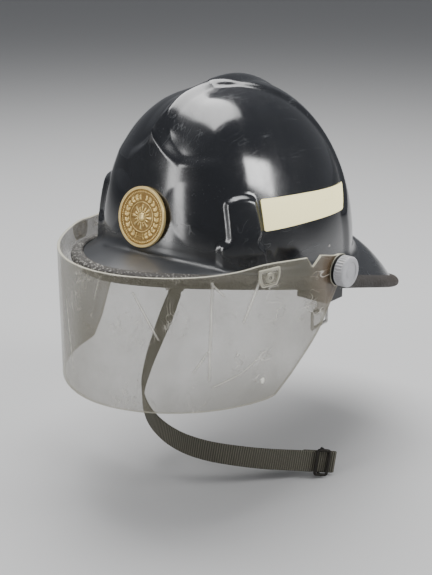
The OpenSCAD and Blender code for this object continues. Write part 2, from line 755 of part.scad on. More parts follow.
module pivot_gasket() {
    color(band_black) on_pivot(gasket_x) difference() {
        cylinder(d = gasket_d, h = gasket_t, $fn = 72);
        translate([0, 0, -1]) cylinder(d = stud_d + 2 * hole_gap, h = gasket_t + 2, $fn = 48);
    }
}

// Finger knob with a fluted side, a shallow dished face and a blind bore for the stud
flutes = 30;
flute_d = 1.7;
flute_out = 0.35;
flute_base = 1.2;
flute_margin = 3.2;
knob_chamfer = 1;
dish_depth = 0.5;
dish_share = 0.62;
module knob() {
    c = knob_chamfer;
    color(knob_grey) on_pivot(knob_x) difference() {
        union() {
            cylinder(d = knob_d, h = knob_h - c, $fn = 72);
            translate([0, 0, knob_h - c]) cylinder(d1 = knob_d, d2 = knob_d - 2 * c, h = c, $fn = 72);
        }
        translate([0, 0, -1]) cylinder(d = stud_d + 2 * run_fit, h = stud_reach + 2, $fn = 48);
        translate([0, 0, knob_h - dish_depth]) cylinder(d = knob_d * dish_share, h = 1, $fn = 60);
        for (k = [0:flutes - 1]) rotate([0, 0, k * 360 / flutes])
            translate([knob_d / 2 + flute_out, 0, flute_base])
                cylinder(d = flute_d, h = knob_h - flute_margin, $fn = 16);
    }
}

// Foam cap inside the shell
liner_turn = [for (i = [0:2:turn_count - 1]) turn[i]];
liner_rows = 8;
function liner_profile(a, off) =
    let (t0 = dome_angle(a, liner_base_z, off))
    [for (k = [0:liner_rows - 1]) dome_point(a, t0 + (crown_turn - t0) * k / liner_rows, off)];
module impact_liner() {
    o = shell_wall + liner_gap;
    color(foam_grey)
        domed_wall([for (a = liner_turn) liner_profile(a, o)],
            [for (a = liner_turn) liner_profile(a, o + liner_t)],
            dome_point(rear_way, crown_turn, o), dome_point(rear_way, crown_turn, o + liner_t));
}

// Headband outline: an ellipse round the head, grown by off
band_points = 72;
function band_at(a, off) =
    [(band_half_width + off) * cos(a), band_y + (band_half_length + off) * sin(a)];
module band_ring(z, h, in_off, out_off) {
    translate([0, 0, z]) linear_extrude(h) difference() {
        polygon([for (i = [0:band_points - 1]) band_at(i * 360 / band_points, out_off)]);
        polygon([for (i = [0:band_points - 1]) band_at(i * 360 / band_points, in_off)]);
    }
}
// Part of the same ring between two angles
module band_arc(z, h, in_off, out_off, from, to, steps) {
    angles = [for (i = [0:steps]) from + (to - from) * i / steps];
    translate([0, 0, z]) linear_extrude(h)
        polygon(concat([for (a = angles) band_at(a, out_off)],
            [for (i = [steps:-1:0]) band_at(angles[i], in_off)]));
}
// Distance from the dome's middle axis to the band's outer face in a direction
function band_reach(a, off) =
    let (p = pow(cos(a) / (band_half_width + off), 2) + pow(sin(a) / (band_half_length + off), 2),
        d = dome_mid_y - band_y,
        q = 2 * d * sin(a) / pow(band_half_length + off, 2),
        r = pow(d / (band_half_length + off), 2) - 1)
    (-q + sqrt(q * q - 4 * p * r)) / (2 * p);

band_hole_gap = 0.5;
module headband() {
    color(band_black) difference() {
        band_ring(band_base_z, band_h, 0, band_t);
        for (a = clip_angles) at_band(a) translate([-2 * band_t, 0, stud_mid_z]) rotate([0, 90, 0])
            cylinder(d = clip_stud_d + band_hole_gap, h = 4 * band_t, $fn = 40);
    }
}

// Cushion inside the headband's front, a little taller than the band, with a hole round each stud's head
brow_gap = 0.4;
brow_over = 3;
brow_from = -150;
brow_to = -30;
brow_hole_gap = 1.25;
module brow_pad() {
    color(foam_grey) difference() {
        band_arc(band_base_z - brow_over, band_h + 2 * brow_over, -brow_gap - brow_t, -brow_gap,
            brow_from, brow_to, 30);
        for (a = clip_angles) at_band(a) translate([-3 * brow_t, 0, stud_mid_z]) rotate([0, 90, 0])
            cylinder(d = stud_head_d + 2 * brow_hole_gap, h = 3 * brow_t, $fn = 40);
    }
}

// Four clips that carry the cradle: a plate against the dome's inner wall, an arm and a block at the headband
clip_angles = [-50, 50, 130, 230];
clip_w = 14;
clip_t = 3;
clip_top_z = 8;
clip_sunk = 2.2;
arm_below_band_top = 14;
clip_arm_z = band_base_z + band_h - arm_below_band_top;
arm_w = 12;
arm_t = 2.4;
block_w = 14;
block_depth = 7;
block_gap = 0.3;
block_top = 1;
clip_stud_d = 5;
function clip_wall_reach(a) =
    flat_reach(shell_wall_point(a, dome_angle(a, clip_top_z, shell_wall), shell_wall, false)) - clip_sunk;
// The band's place and outward direction where a ray from the dome's axis meets it
function band_turn(a, off) =
    let (r = band_reach(a, off),
        t = atan2((dome_mid_y + r * sin(a) - band_y) * (band_half_width + off),
            r * cos(a) * (band_half_length + off)))
    atan2(sin(t) * (band_half_width + off), cos(t) * (band_half_length + off));
module at_band(a) {
    r = band_reach(a, band_t);
    translate([r * cos(a), dome_mid_y + r * sin(a), clip_arm_z + clip_t / 2])
        rotate([0, 0, band_turn(a, band_t)]) children();
}
module hanger_clips() {
    color(band_black)
        for (a = clip_angles) {
            w = clip_wall_reach(a);
            b = band_reach(a, band_t) + block_depth / 2;
            translate([0, dome_mid_y, 0]) rotate([0, 0, a]) {
                translate([w - clip_t, -clip_w / 2, clip_arm_z])
                    cube([clip_t, clip_w, clip_top_z - clip_arm_z]);
                translate([b, -arm_w / 2, clip_arm_z + clip_t - arm_t])
                    cube([w - clip_t / 2 - b, arm_w, arm_t]);
            }
            at_band(a) translate([block_gap, -block_w / 2, -block_w / 2])
                cube([block_depth, block_w, block_w / 2 + block_top]);
        }
}

// Studs that hold the headband to the clips
stud_mid_z = -clip_t;
stud_head_d = 8.5;
stud_head_slope = 2;
stud_head_h = 1;
stud_head_at = 1.3;
stud_root_at = 0.6;
module headband_studs() {
    color(steel)
        for (a = clip_angles) at_band(a) translate([0, 0, stud_mid_z]) rotate([0, 90, 0]) {
            translate([0, 0, -band_t - stud_root_at])
                cylinder(d = clip_stud_d, h = band_t + block_depth - 1, $fn = 40);
            translate([0, 0, -band_t - stud_head_at])
                cylinder(d1 = stud_head_d - stud_head_slope, d2 = stud_head_d, h = stud_head_h, $fn = 40);
        }
}

// Crown strap: a webbing run in the upright plane at one direction, lift higher at the crossing
crown_gap = 0.7;
crown_base_z = clip_arm_z + clip_t + crown_gap;
crown_knee_z = 6;
crown_top_z = 84;
crown_power = 2.2;
crown_front_out = 3;
crown_rear_in = 4;
crown_end_out = 4;
crown_end_drop = 3;
crown_knee_fall = 5.5;
crown_steps = 14;
crown_crossing = 0.8;
// Places of the strap's outer face, as a distance from the dome's axis and a height
function crown_path(a, lift) =
    let (front_r = band_reach(a, band_t) + crown_front_out,
        rear_r = band_reach(a + 180, band_t) - crown_rear_in)
    concat([[front_r + crown_end_out, crown_base_z]],
        [for (i = [0:crown_steps]) let (u = i * 180 / crown_steps)
            [(cos(u) > 0 ? front_r : rear_r) * sign(cos(u)) * pow(abs(cos(u)), 2 / crown_power),
                crown_knee_z + (crown_top_z + lift - crown_knee_z) * pow(abs(sin(u)), 2 / crown_power)]],
        [[-rear_r - crown_rear_in - crown_end_out, crown_knee_z - crown_knee_fall],
            [-rear_r - crown_rear_in - crown_end_out - crown_end_drop, crown_base_z]]);
module crown_strap(a, lift) {
    path = crown_path(a, lift);
    n = len(path);
    h = crown_strap_w / 2;
    color(olive) translate([0, dome_mid_y, 0]) rotate([0, 0, a])
        swept_run([for (i = [0:n - 1])
            let (d = unit(path[min(n - 1, i + 1)] - path[max(0, i - 1)]),
                o = [d[1], -d[0]] * crown_strap_t,
                p = path[i],
                q = p - o)
            [[p[0], -h, p[1]], [p[0], h, p[1]], [q[0], h, q[1]], [q[0], -h, q[1]]]]);
}
module crown_strap_lower() {
    crown_strap(clip_angles[0], 0);
}
module crown_strap_upper() {
    crown_strap(clip_angles[3], crown_strap_t + crown_crossing);
}

// Nape strap: leaves the headband's sides and drops behind the head
nape_h = 18;
nape_from = 12;
nape_steps = 26;
nape_gap = 0.3;
nape_off = band_t + nape_gap;
nape_t = 1.5;
nape_above = 1;
// Shares of the way round between which the strap falls
nape_fall_from = 0.2;
nape_fall_over = 0.7;
function nape_mid_z(a) =
    let (side_z = band_base_z + nape_h / 2 + nape_above)
    side_z + (nape_z - side_z) * smooth((sin(a) - nape_fall_from) / nape_fall_over);
module nape_strap() {
    color(band_black)
        swept_run([for (i = [nape_steps:-1:0])
            let (a = nape_from + (180 - 2 * nape_from) * i / nape_steps, p = band_at(a, nape_off),
                q = band_at(a, nape_off + nape_t), z = nape_mid_z(a), h = nape_h / 2)
            [[p[0], p[1], z - h], [q[0], q[1], z - h], [q[0], q[1], z + h], [p[0], p[1], z + h]]]);
}

// Ratchet housing: a curved case behind the nape strap, with a round seat for its knob
housing_in = nape_off + nape_t + nape_gap;
housing_half_angle = asin(ratchet_w / 2 / (band_half_width + housing_in));
knob_seat_rise = 1.5;
knob_seat_len = 6;
knob_seat_margin = 3;
knob_seat_y = band_y + band_half_length + housing_in + ratchet_depth + knob_seat_rise;
shaft_d = 8;
shaft_len = 6;
module ratchet_housing() {
    color(band_black) difference() {
        union() {
            band_arc(nape_z - ratchet_h / 2, ratchet_h, housing_in, housing_in + ratchet_depth,
                rear_way - housing_half_angle, rear_way + housing_half_angle, 12);
            translate([0, knob_seat_y, nape_z]) rotate([90, 0, 0])
                cylinder(d = ratchet_h - 2 * knob_seat_margin, h = knob_seat_len, $fn = 60);
        }
        translate([0, knob_seat_y + 1, nape_z]) rotate([90, 0, 0])
            cylinder(d = shaft_d + 2 * run_fit, h = shaft_len + 2, $fn = 48);
    }
}

lobes = 16;
lobe_d = 3;
lobe_out = 0.6;
lobe_base = 1.5;
module ratchet_knob() {
    color(band_black) translate([0, knob_seat_y + seat_gap, nape_z]) rotate([-90, 0, 0]) {
        difference() {
            cylinder(d = ratchet_knob_d, h = ratchet_knob_h, $fn = 64);
            for (k = [0:lobes - 1]) rotate([0, 0, k * 360 / lobes])
                translate([ratchet_knob_d / 2 + lobe_out, 0, lobe_base])
                    cylinder(d = lobe_d, h = ratchet_knob_h, $fn = 20);
        }
        translate([0, 0, -shaft_len]) cylinder(d = shaft_d, h = shaft_len + 1, $fn = 48);
    }
}

// Strap anchors: a plate riveted to the dome's inner wall, with a knuckle for the ring's upper bar
anchor_angle = 15;
anchor_w = 16;
anchor_t = 1.8;
anchor_wall = first_wall(anchor_angle, shell_wall, false);
anchor_tangent = first_wall(anchor_angle + 1, shell_wall, false)
    - first_wall(anchor_angle - 1, shell_wall, false);
anchor_turn = atan2(-anchor_tangent[0], anchor_tangent[1]);
anchor_gap = 1.6;
anchor_top = 13;
anchor_drop = 50;
rivet_up = 8;
knuckle_r = 3.2;
knuckle_w = 12;
ring_w = 26;
ring_h = 15;
knuckle_sunk = 1;
knuckle_z = -anchor_drop - knuckle_r + knuckle_sunk;
// Origin at the foot of the dome's inner wall, +X outward
module at_anchor() {
    translate(anchor_wall) rotate([0, 0, anchor_turn]) translate([-anchor_gap, 0, 0]) children();
}
module strap_anchor() {
    color(steel) at_anchor() difference() {
        union() {
            translate([-anchor_t, -anchor_w / 2, -anchor_drop])
                cube([anchor_t, anchor_w, anchor_drop + anchor_top]);
            translate([-knuckle_r, -knuckle_w / 2, knuckle_z]) rotate([-90, 0, 0])
                cylinder(r = knuckle_r, h = knuckle_w, $fn = 40);
        }
        translate([-knuckle_r, -anchor_w, knuckle_z]) rotate([-90, 0, 0])
            cylinder(d = ring_wire_d + 2 * run_fit, h = 2 * anchor_w, $fn = 40);
        translate([-anchor_t - 1, 0, rivet_up]) rotate([0, 90, 0])
            cylinder(d = rivet_d + hole_gap, h = anchor_t + 2, $fn = 32);
    }
}

// Rivets through the anchors into the dome's wall
rivet_d = 4;
rivet_head_d = 9;
rivet_head_slope = 3;
rivet_head_h = 1.6;
rivet_bite = 0.9;
module anchor_rivets() {
    color(steel) for (s = [1, -1]) side(s) at_anchor()
        translate([-anchor_t - head_gap, 0, rivet_up]) rotate([0, 90, 0]) {
            cylinder(d = rivet_d, h = anchor_t + anchor_gap + shell_wall * rivet_bite, $fn = 32);
            translate([0, 0, -rivet_head_h])
                cylinder(d1 = rivet_head_d - rivet_head_slope, d2 = rivet_head_d, h = rivet_head_h, $fn = 40);
        }
}

// Rectangular wire ring that hangs from the anchor's knuckle
module strap_ring() {
    w = ring_w / 2;
    color(steel) at_anchor() translate([-knuckle_r, 0, knuckle_z]) {
        for (z = [0, -ring_h]) translate([0, -w, z]) rotate([-90, 0, 0])
            cylinder(d = ring_wire_d, h = 2 * w, $fn = 40);
        for (y = [-w, w]) {
            translate([0, y, -ring_h]) cylinder(d = ring_wire_d, h = ring_h, $fn = 40);
            for (z = [0, -ring_h]) translate([0, y, z]) sphere(d = ring_wire_d, $fn = 40);
        }
    }
}

// Chin strap: it loops the right ring's lower bar, falls beside the jaw and runs forward under the chin
strap_route = [[-84, -7, -107], [-81, -25, -127], [-75, -46, -147], [-63, -68, -164],
    [-44, -83, -175], [-20, -92, -182], [6, -94, -187], [31, -87, -191], [53, -72, -195]];
strap_end_from = [72, -52, -200];
strap_end_to = [111, 1, -212];
strap_axis_y = -20;
loop_tail = 8;
end_dir = unit(strap_end_to - strap_end_from);
end_len = norm(strap_end_to - strap_end_from);
// Right ring's lower bar: its middle, its direction and the outward direction there
bar_out = [-cos(anchor_turn), sin(anchor_turn), 0];
bar_along = [sin(anchor_turn), cos(anchor_turn), 0];
bar_mid = [-anchor_wall[0], anchor_wall[1], anchor_wall[2] + knuckle_z - ring_h]
    - (anchor_gap + knuckle_r) * bar_out;
loop_gap = 0.3;
loop_end_gap = 0.1;
loop_r = ring_wire_d / 2 + loop_gap + strap_t / 2;
function spline(p0, p1, p2, p3, u) =
    0.5 * (2 * p1 + (p2 - p0) * u + (2 * p0 - 5 * p1 + 4 * p2 - p3) * u * u
        + (3 * p1 - p0 - 3 * p2 + p3) * u * u * u);
function curve_point(k, i, u) =
    let (n = len(k) - 1)
    spline(k[max(0, i - 1)], k[i], k[min(n, i + 1)], k[min(n, i + 2)], u);
strap_top = bar_mid + loop_r * bar_out;
strap_knots = concat([strap_top, strap_top - [0, 0, loop_tail]], strap_route,
    [strap_end_from, strap_end_from + end_dir * end_len / 2]);
strap_mid = [for (i = [1:len(strap_knots) - 2]) for (u = [0, 1 / 3, 2 / 3])
    curve_point(strap_knots, i, u)];
// Outward direction of the webbing at a place p where it runs along d
function webbing_out(p, d) =
    let (r = unit([p[0], p[1] - strap_axis_y, 0]), o = r - (r * d) * d)
    unit(o);
function webbing_section(p, out, d) =
    let (w = cross(out, d) * strap_w / 2, o = out * strap_t / 2)
    [p - w - o, p + w - o, p + w + o, p - w + o];
end_out = webbing_out(strap_end_from + end_dir * end_len / 2, end_dir);
fold_r = 1.3;
tail_len = 30;
module chin_strap() {
    n = len(strap_mid);
    loop_start = bar_mid + (loop_r - strap_t - loop_end_gap) * bar_out + [0, 0, -loop_tail];
    loop = [for (u = [180:-30:0])
        let (o = bar_out * cos(u) + [0, 0, 1] * sin(u), d = bar_out * sin(u) - [0, 0, 1] * cos(u))
        webbing_section(bar_mid + o * loop_r, o, d)];
    body = [for (i = [0:n - 1])
        let (p = strap_mid[i], d = unit(strap_mid[min(n - 1, i + 1)] - strap_mid[max(0, i - 1)]),
            out = i == 0 ? bar_out : webbing_out(p, d))
        webbing_section(p, out, d)];
    fold = [for (u = [0:30:180])
        let (o = end_out * cos(u) + end_dir * sin(u), d = end_dir * cos(u) - end_out * sin(u))
        webbing_section(strap_end_to - end_out * fold_r + o * fold_r, o, d)];
    tail_end = strap_end_to - end_out * 2 * fold_r - end_dir * tail_len;
    color(olive) swept_run(concat([webbing_section(loop_start, -bar_out, [0, 0, 1])], loop, body, fold,
        [webbing_section(tail_end, -end_out, -end_dir)]));
}

// Strap slide: two bars and two rails over the webbing, a third bar under its folded tail
slide_from_end = 12;
slide_half = 6;
slide_side_gap = 0.4;
slide_face_gap = 0.3;
module strap_slide() {
    g = slide_wire_d;
    w = strap_w / 2 + slide_side_gap;
    over = strap_t / 2 + slide_face_gap;
    under = 2 * fold_r + over;
    p = strap_end_to - end_dir * slide_from_end;
    y = cross(end_out, end_dir);
    color(steel)
        multmatrix([for (i = [0:2]) [end_dir[i], y[i], end_out[i], p[i]]]) {
            translate([-slide_half - g / 2, -w - g, over]) difference() {
                cube([2 * slide_half + g, 2 * (w + g), g]);
                translate([g, g, -1]) cube([2 * slide_half - g, 2 * w, g + 2]);
            }
            for (v = [-w - g, w]) translate([-g / 2, v, -under - g]) cube([g, g, under + over + 2 * g]);
            translate([-g / 2, -w - g, -under - g]) cube([g, 2 * (w + g), g]);
        }
}

module marking_strip_left() {
    side(1) marking_strip();
}
module marking_strip_right() {
    side(-1) marking_strip();
}
module pivot_bracket_left() {
    side(1) pivot_bracket();
}
module pivot_bracket_right() {
    side(-1) pivot_bracket();
}
module pivot_stud_left() {
    side(1) pivot_stud();
}
module pivot_stud_right() {
    side(-1) pivot_stud();
}
module shield_bumper_left() {
    side(1) shield_bumper();
}
module shield_bumper_right() {
    side(-1) shield_bumper();
}
module pivot_washer_left() {
    side(1) pivot_washer();
}
module pivot_washer_right() {
    side(-1) pivot_washer();
}
module pivot_gasket_left() {
    side(1) pivot_gasket();
}
module pivot_gasket_right() {
    side(-1) pivot_gasket();
}
module knob_left() {
    side(1) knob();
}
module knob_right() {
    side(-1) knob();
}
module strap_anchor_left() {
    side(1) strap_anchor();
}
module strap_anchor_right() {
    side(-1) strap_anchor();
}
module strap_ring_left() {
    side(1) strap_ring();
}
module strap_ring_right() {
    side(-1) strap_ring();
}

shell();
edge_trim();
medallion();
medallion_posts();
marking_strip_left();
marking_strip_right();
pivot_bracket_left();
pivot_bracket_right();
bracket_screws();
pivot_stud_left();
pivot_stud_right();
face_shield();
shield_bumper_left();
shield_bumper_right();
pivot_washer_left();
pivot_washer_right();
pivot_gasket_left();
pivot_gasket_right();
knob_left();
knob_right();
impact_liner();
crown_strap_lower();
crown_strap_upper();
hanger_clips();
headband();
headband_studs();
brow_pad();
nape_strap();
ratchet_housing();
ratchet_knob();
strap_anchor_left();
strap_anchor_right();
anchor_rivets();
strap_ring_left();
strap_ring_right();
chin_strap();
strap_slide();
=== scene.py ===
"""Looks of a fire helmet with a clear face shield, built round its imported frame.

Lengths in the formulas are millimetres and angles are degrees; meshes are made in metres.
+Z is up, the front faces -Y and the wearer's left side is +X.
"""

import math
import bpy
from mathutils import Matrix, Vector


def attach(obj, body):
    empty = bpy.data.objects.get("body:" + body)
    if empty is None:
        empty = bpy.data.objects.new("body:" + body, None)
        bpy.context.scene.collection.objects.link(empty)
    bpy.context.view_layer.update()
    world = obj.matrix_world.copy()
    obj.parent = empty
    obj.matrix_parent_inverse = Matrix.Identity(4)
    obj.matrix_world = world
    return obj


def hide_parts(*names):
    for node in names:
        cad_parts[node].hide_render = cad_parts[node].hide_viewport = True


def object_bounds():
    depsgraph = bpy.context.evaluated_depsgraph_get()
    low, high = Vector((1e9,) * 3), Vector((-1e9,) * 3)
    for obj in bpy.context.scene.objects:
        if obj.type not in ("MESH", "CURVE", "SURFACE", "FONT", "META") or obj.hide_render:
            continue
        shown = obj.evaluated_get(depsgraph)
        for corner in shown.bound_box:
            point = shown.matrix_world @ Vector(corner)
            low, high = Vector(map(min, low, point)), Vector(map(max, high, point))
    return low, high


bl_info = {
    "name": "Fire helmet",
    "version": (1, 0, 0),
    "blender": (4, 5, 0),
    "location": "View3D > Sidebar > Helmet",
    "description": "Builds a fire helmet with a clear face shield round its packed frame",
    "category": "Add Mesh",
}

from types import SimpleNamespace

import bpy
import numpy as np
from bpy.props import FloatProperty, FloatVectorProperty, PointerProperty
from bpy.types import Operator, Panel, PropertyGroup
from mathutils import Matrix, Vector

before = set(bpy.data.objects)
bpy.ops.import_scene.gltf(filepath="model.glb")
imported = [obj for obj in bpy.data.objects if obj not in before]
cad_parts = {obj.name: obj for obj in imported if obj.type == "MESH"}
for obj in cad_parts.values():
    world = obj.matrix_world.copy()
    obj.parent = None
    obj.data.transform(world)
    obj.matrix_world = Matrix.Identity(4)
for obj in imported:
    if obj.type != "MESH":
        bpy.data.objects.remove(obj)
cad_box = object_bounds()

PHOTO_WIDTH, PHOTO_HEIGHT = 432, 575
# Height at which the front panel's distance holds, before its lean
PANEL_MID_Z = 30.4
# Signs of X of the paired pieces, which are built once and mirrored
SIDES = ((1, "left"), (-1, "right"))


# Sizes and colours that a user would change


def length(name, note, millimetres):
    """A length property: its default is written in millimetres and kept in metres."""
    return FloatProperty(
        name=name, description=note, default=millimetres / 1000, unit="LENGTH", precision=5
    )


def share(name, note, value):
    """A plain number property."""
    return FloatProperty(name=name, description=note, default=value)


def colour(name, note, value):
    """A colour property in linear values."""
    return FloatVectorProperty(
        name=name, description=note, default=value, size=3, subtype="COLOR", min=0, max=1
    )


class ShellSizes(PropertyGroup):
    half_width: length("Dome half width", "Half of the dome's width at its foot", 95)
    front: length("Dome front", "From the dome's middle to its front", 113)
    rear: length("Dome rear", "From the dome's middle to its rear", 124.5)
    mid_y: length("Dome middle", "Place of the dome's middle along Y", -16)
    base_z: length("Dome base", "Base of the dome's height scale", -25)
    crown: length("Crown height", "Height of the bare dome", 129)
    wall: length("Wall", "Thickness of the moulded shell", 3.2)
    panel_front: length("Panel front", "Front panel's distance ahead of the origin", 129)
    panel_lean: share("Panel lean", "Backward lean of the panel, run over rise", 0.2)
    panel_radius: length("Panel radius", "Radius of the panel seen from above", 100)
    panel_top: length("Panel top", "Height of the panel's pointed top", 103)
    rib_half: length("Rib half width", "Half of the crown rib's width", 13)
    rib_height: length("Rib height", "Height of the crown rib", 3.5)
    rib_end: length("Rib end", "Where the rib ends along Y", 46)
    rear_height: length("Rear panel height", "Height of the raised rear panel", 3)
    boss_height: length("Boss height", "Height of the side bosses", 4.5)
    boss_top: length("Boss top", "Top of the side bosses", 54)
    brim_half: length("Brim half width", "Half of the brim's width at its lip", 117)
    brim_front: length("Brim front", "From the dome's middle to the lip in front", 169)
    brim_rear: length("Brim rear", "From the dome's middle to the lip behind", 206)
    lip_z: length("Lip height", "Height of the lip in front", -4.3)
    lip_drop: length("Lip drop", "Fall of the lip from front to rear", 92)
    brim_slope: share("Brim slope", "Fall of the brim's upper face at the sides", 0.57)
    slope_swing: share("Slope swing", "Change of that fall from front to rear", 0.44)
    brim_bow: share("Brim bow", "Upward bow of the rear brim, as a share of its run", 0.11)
    trim_depth: length("Trim depth", "Depth of the rubber edge", 11)
    trim_rise: length("Trim rise", "Rubber edge above the lip", 3.4)
    trim_fall: length("Trim fall", "Rubber edge below the lip", 5)
    trim_nose: length("Trim nose", "Solid rubber ahead of the lip", 4.7)


class FittingSizes(PropertyGroup):
    badge_d: length("Medallion diameter", "Outer diameter of the medallion", 50.8)
    badge_t: length("Medallion thickness", "Thickness of the medallion's rim", 3)
    badge_z: length("Medallion height", "Height of the medallion's middle", 30.4)
    strip_front: length("Marking height front", "Marking strip's height in front", 26)
    strip_rear: length("Marking height rear", "Marking strip's height behind", 21)
    strip_t: length("Marking thickness", "Thickness of the marking film", 0.5)
    strip_lift: length("Marking lift", "Film's stand off from the bare dome", 0.85)
    shield_inset: length("Shield inset", "Shield's outer face inside the brim's width", 7)
    shield_bow: length("Shield bow", "Length of the shield's curved front", 120.4)
    shield_mid: length("Shield middle", "Where the shield's curved front starts", -72)
    shield_drop: length("Shield drop", "Shield's height below its top edge", 116)
    shield_t: length("Shield thickness", "Thickness of the clear sheet", 2.5)
    pivot_y: length("Pivot y", "Place of the pivot axis along Y", -19.5)
    pivot_z: length("Pivot z", "Height of the pivot axis", -17.7)
    ear_x: length("Ear reach", "Shield's outer face at the pivots", 122.5)
    ear_r: length("Ear radius", "Radius of the shield's ears", 13.6)
    washer_d: length("Washer diameter", "Diameter of the clear washer", 28.2)
    gasket_d: length("Gasket diameter", "Diameter of the black gasket", 27.0)
    washer_t: length("Washer thickness", "Thickness of the clear washer", 0.9)
    gasket_t: length("Gasket thickness", "Thickness of the black gasket", 1.9)
    stud_d: length("Stud diameter", "Diameter of the threaded stud", 6)
    knob_d: length("Knob diameter", "Diameter of the finger knob", 26.6)
    knob_h: length("Knob height", "Height of the finger knob", 8.8)


class HarnessSizes(PropertyGroup):
    liner_t: length("Liner thickness", "Thickness of the foam cap", 9.5)
    liner_gap: length("Liner gap", "Room between shell and foam", 1)
    liner_z: length("Liner base", "Height of the foam's lower edge", 12)
    band_half: length("Band half width", "Half of the headband's width", 77)
    band_long: length("Band half length", "Half of the headband's length", 97)
    band_y: length("Band middle", "Headband's middle along Y", -6)
    band_h: length("Band height", "Height of the headband", 28)
    band_t: length("Band thickness", "Thickness of the headband", 1.6)
    band_z: length("Band base", "Height of the headband's lower edge", -30)
    brow_t: length("Brow thickness", "Thickness of the brow pad", 4)
    cradle_w: length("Cradle width", "Width of the crown straps", 19)
    cradle_t: length("Cradle thickness", "Thickness of the crown straps", 1.2)
    nape_z: length("Nape height", "Height of the nape strap's middle behind", -50)
    ratchet_w: length("Ratchet width", "Width of the ratchet's case", 54)
    ratchet_h: length("Ratchet height", "Height of the ratchet's case", 30)
    ratchet_depth: length("Ratchet depth", "Depth of the ratchet's case", 9)
    strap_w: length("Chin strap width", "Width of the chin strap", 20)
    strap_t: length("Chin strap thickness", "Thickness of the chin strap", 1.6)
    slide_wire: length("Slide wire", "Thickness of the slide's bars", 2.6)


class HelmetColours(PropertyGroup):
    shell: colour("Shell", "Gloss black moulding", (0.0065, 0.0075, 0.0105))
    shell_dust: colour("Shell dust", "Dust and scuffs on the moulding", (0.16, 0.17, 0.18))
    rubber: colour("Rubber", "Rubber edge where it is dark", (0.035, 0.031, 0.028))
    rubber_worn: colour("Worn rubber", "Rubber edge where it is rubbed", (0.42, 0.41, 0.375))
    brass: colour("Brass", "Medallion's metal", (1.0, 0.77, 0.35))
    # Painted shade: the colour painted into the medallion's hollows
    brass_dark: colour("Dark brass", "Medallion's hollows", (0.26, 0.145, 0.04))
    marking: colour("Marking", "Pale marking film", (0.93, 0.85, 0.45))
    clear: colour("Clear sheet", "Haze of the clear sheet", (0.185, 0.168, 0.115))
    # Painted highlight: the pale colour painted along the clear parts' edges and slanting faces
    clear_edge: colour("Clear edge", "Cut edges of the clear sheet", (0.74, 0.71, 0.58))
    stain: colour("Stain", "Brown stain near the pivots", (0.17, 0.105, 0.06))
    knob: colour("Knob", "Grey moulded knob", (0.52, 0.52, 0.54))
    gasket: colour("Gasket", "Black rubber", (0.005, 0.005, 0.005))
    bracket: colour("Bracket", "Black painted sheet metal", (0.018, 0.018, 0.020))
    steel: colour("Steel", "Plated steel", (0.52, 0.51, 0.49))
    slide: colour("Slide", "Dark metal of the slide", (0.045, 0.042, 0.038))
    foam: colour("Foam", "Foam cap", (0.12, 0.12, 0.125))
    webbing: colour("Webbing", "Olive webbing", (0.15, 0.142, 0.108))
    cradle: colour("Cradle", "Black moulded cradle", (0.014, 0.014, 0.015))
    brow: colour("Brow cloth", "Cloth of the brow pad", (0.045, 0.045, 0.047))
    floor: colour("Floor", "Studio floor", (0.60, 0.60, 0.60))


def in_mm(group):
    """A plain copy of a property group with its lengths in millimetres."""
    values = {}
    for prop in group.bl_rna.properties:
        if prop.identifier not in ("rna_type", "name"):
            value = getattr(group, prop.identifier)
            values[prop.identifier] = value * 1000 if prop.unit == "LENGTH" else value
    return SimpleNamespace(**values)


# Arithmetic on whole arrays


def cos(a):
    return np.cos(np.radians(a))


def sin(a):
    return np.sin(np.radians(a))


def smooth(u):
    """Rises from 0 to 1 as three u squared less two u cubed, and is level outside."""
    c = np.clip(u, 0, 1)
    return c * c * (3 - 2 * c)


def bell(u):
    """1 at 0, falling on both sides as e to the power of minus u squared."""
    return np.exp(-(u**2))


def bulge(u):
    """A half circle over u: the root of one less u squared, and 0 past its ends."""
    return np.sqrt(np.clip(1 - u**2, 0, 1))


def bent(v, power):
    """A power of v that keeps its sign; on sines and cosines it squares up an oval."""
    return np.sign(v) * np.abs(v) ** power


def unit(v):
    return v / np.maximum(np.linalg.norm(v, axis=-1, keepdims=True), 1e-9)


def point(x, y, z):
    return np.stack(np.broadcast_arrays(x, y, z), -1).astype(float)


def span(start, end, count):
    """Evenly spaced rows from start to end, where both may be arrays over the columns."""
    u = np.linspace(0, 1, count)
    u = u.reshape((count,) + (1,) * np.ndim(start))
    return start + (end - start) * u


def circle(count):
    """Directions all the way round, in degrees."""
    return np.linspace(0, 360, count, endpoint=False)


def grid_faces(rows, cols, wrap_rows=False, wrap_cols=False):
    """Quads of a grid of points, row by row; wrap joins the last row or column to the first."""
    i = np.arange(rows if wrap_rows else rows - 1)[:, None]
    j = np.arange(cols if wrap_cols else cols - 1)[None, :]
    i2, j2 = (i + 1) % rows, (j + 1) % cols
    quads = [i * cols + j, i * cols + j2, i2 * cols + j2, i2 * cols + j]
    return np.stack(np.broadcast_arrays(*quads), -1).reshape(-1, 4)


def grid_uv(u, v):
    """Corner coordinates of a grid's quads, from the coordinates of its rows and columns."""
    uv = np.stack(np.broadcast_arrays(u, v), -1)
    corners = [uv[:-1, :-1], uv[:-1, 1:], uv[1:, 1:], uv[1:, :-1]]
    return np.stack(corners, 2).reshape(-1, 2)


def distances(points):
    """Length along a row of points up to each of them."""
    steps = np.linalg.norm(np.diff(points, axis=0), axis=-1)
    return np.concatenate([[0], np.cumsum(steps)])


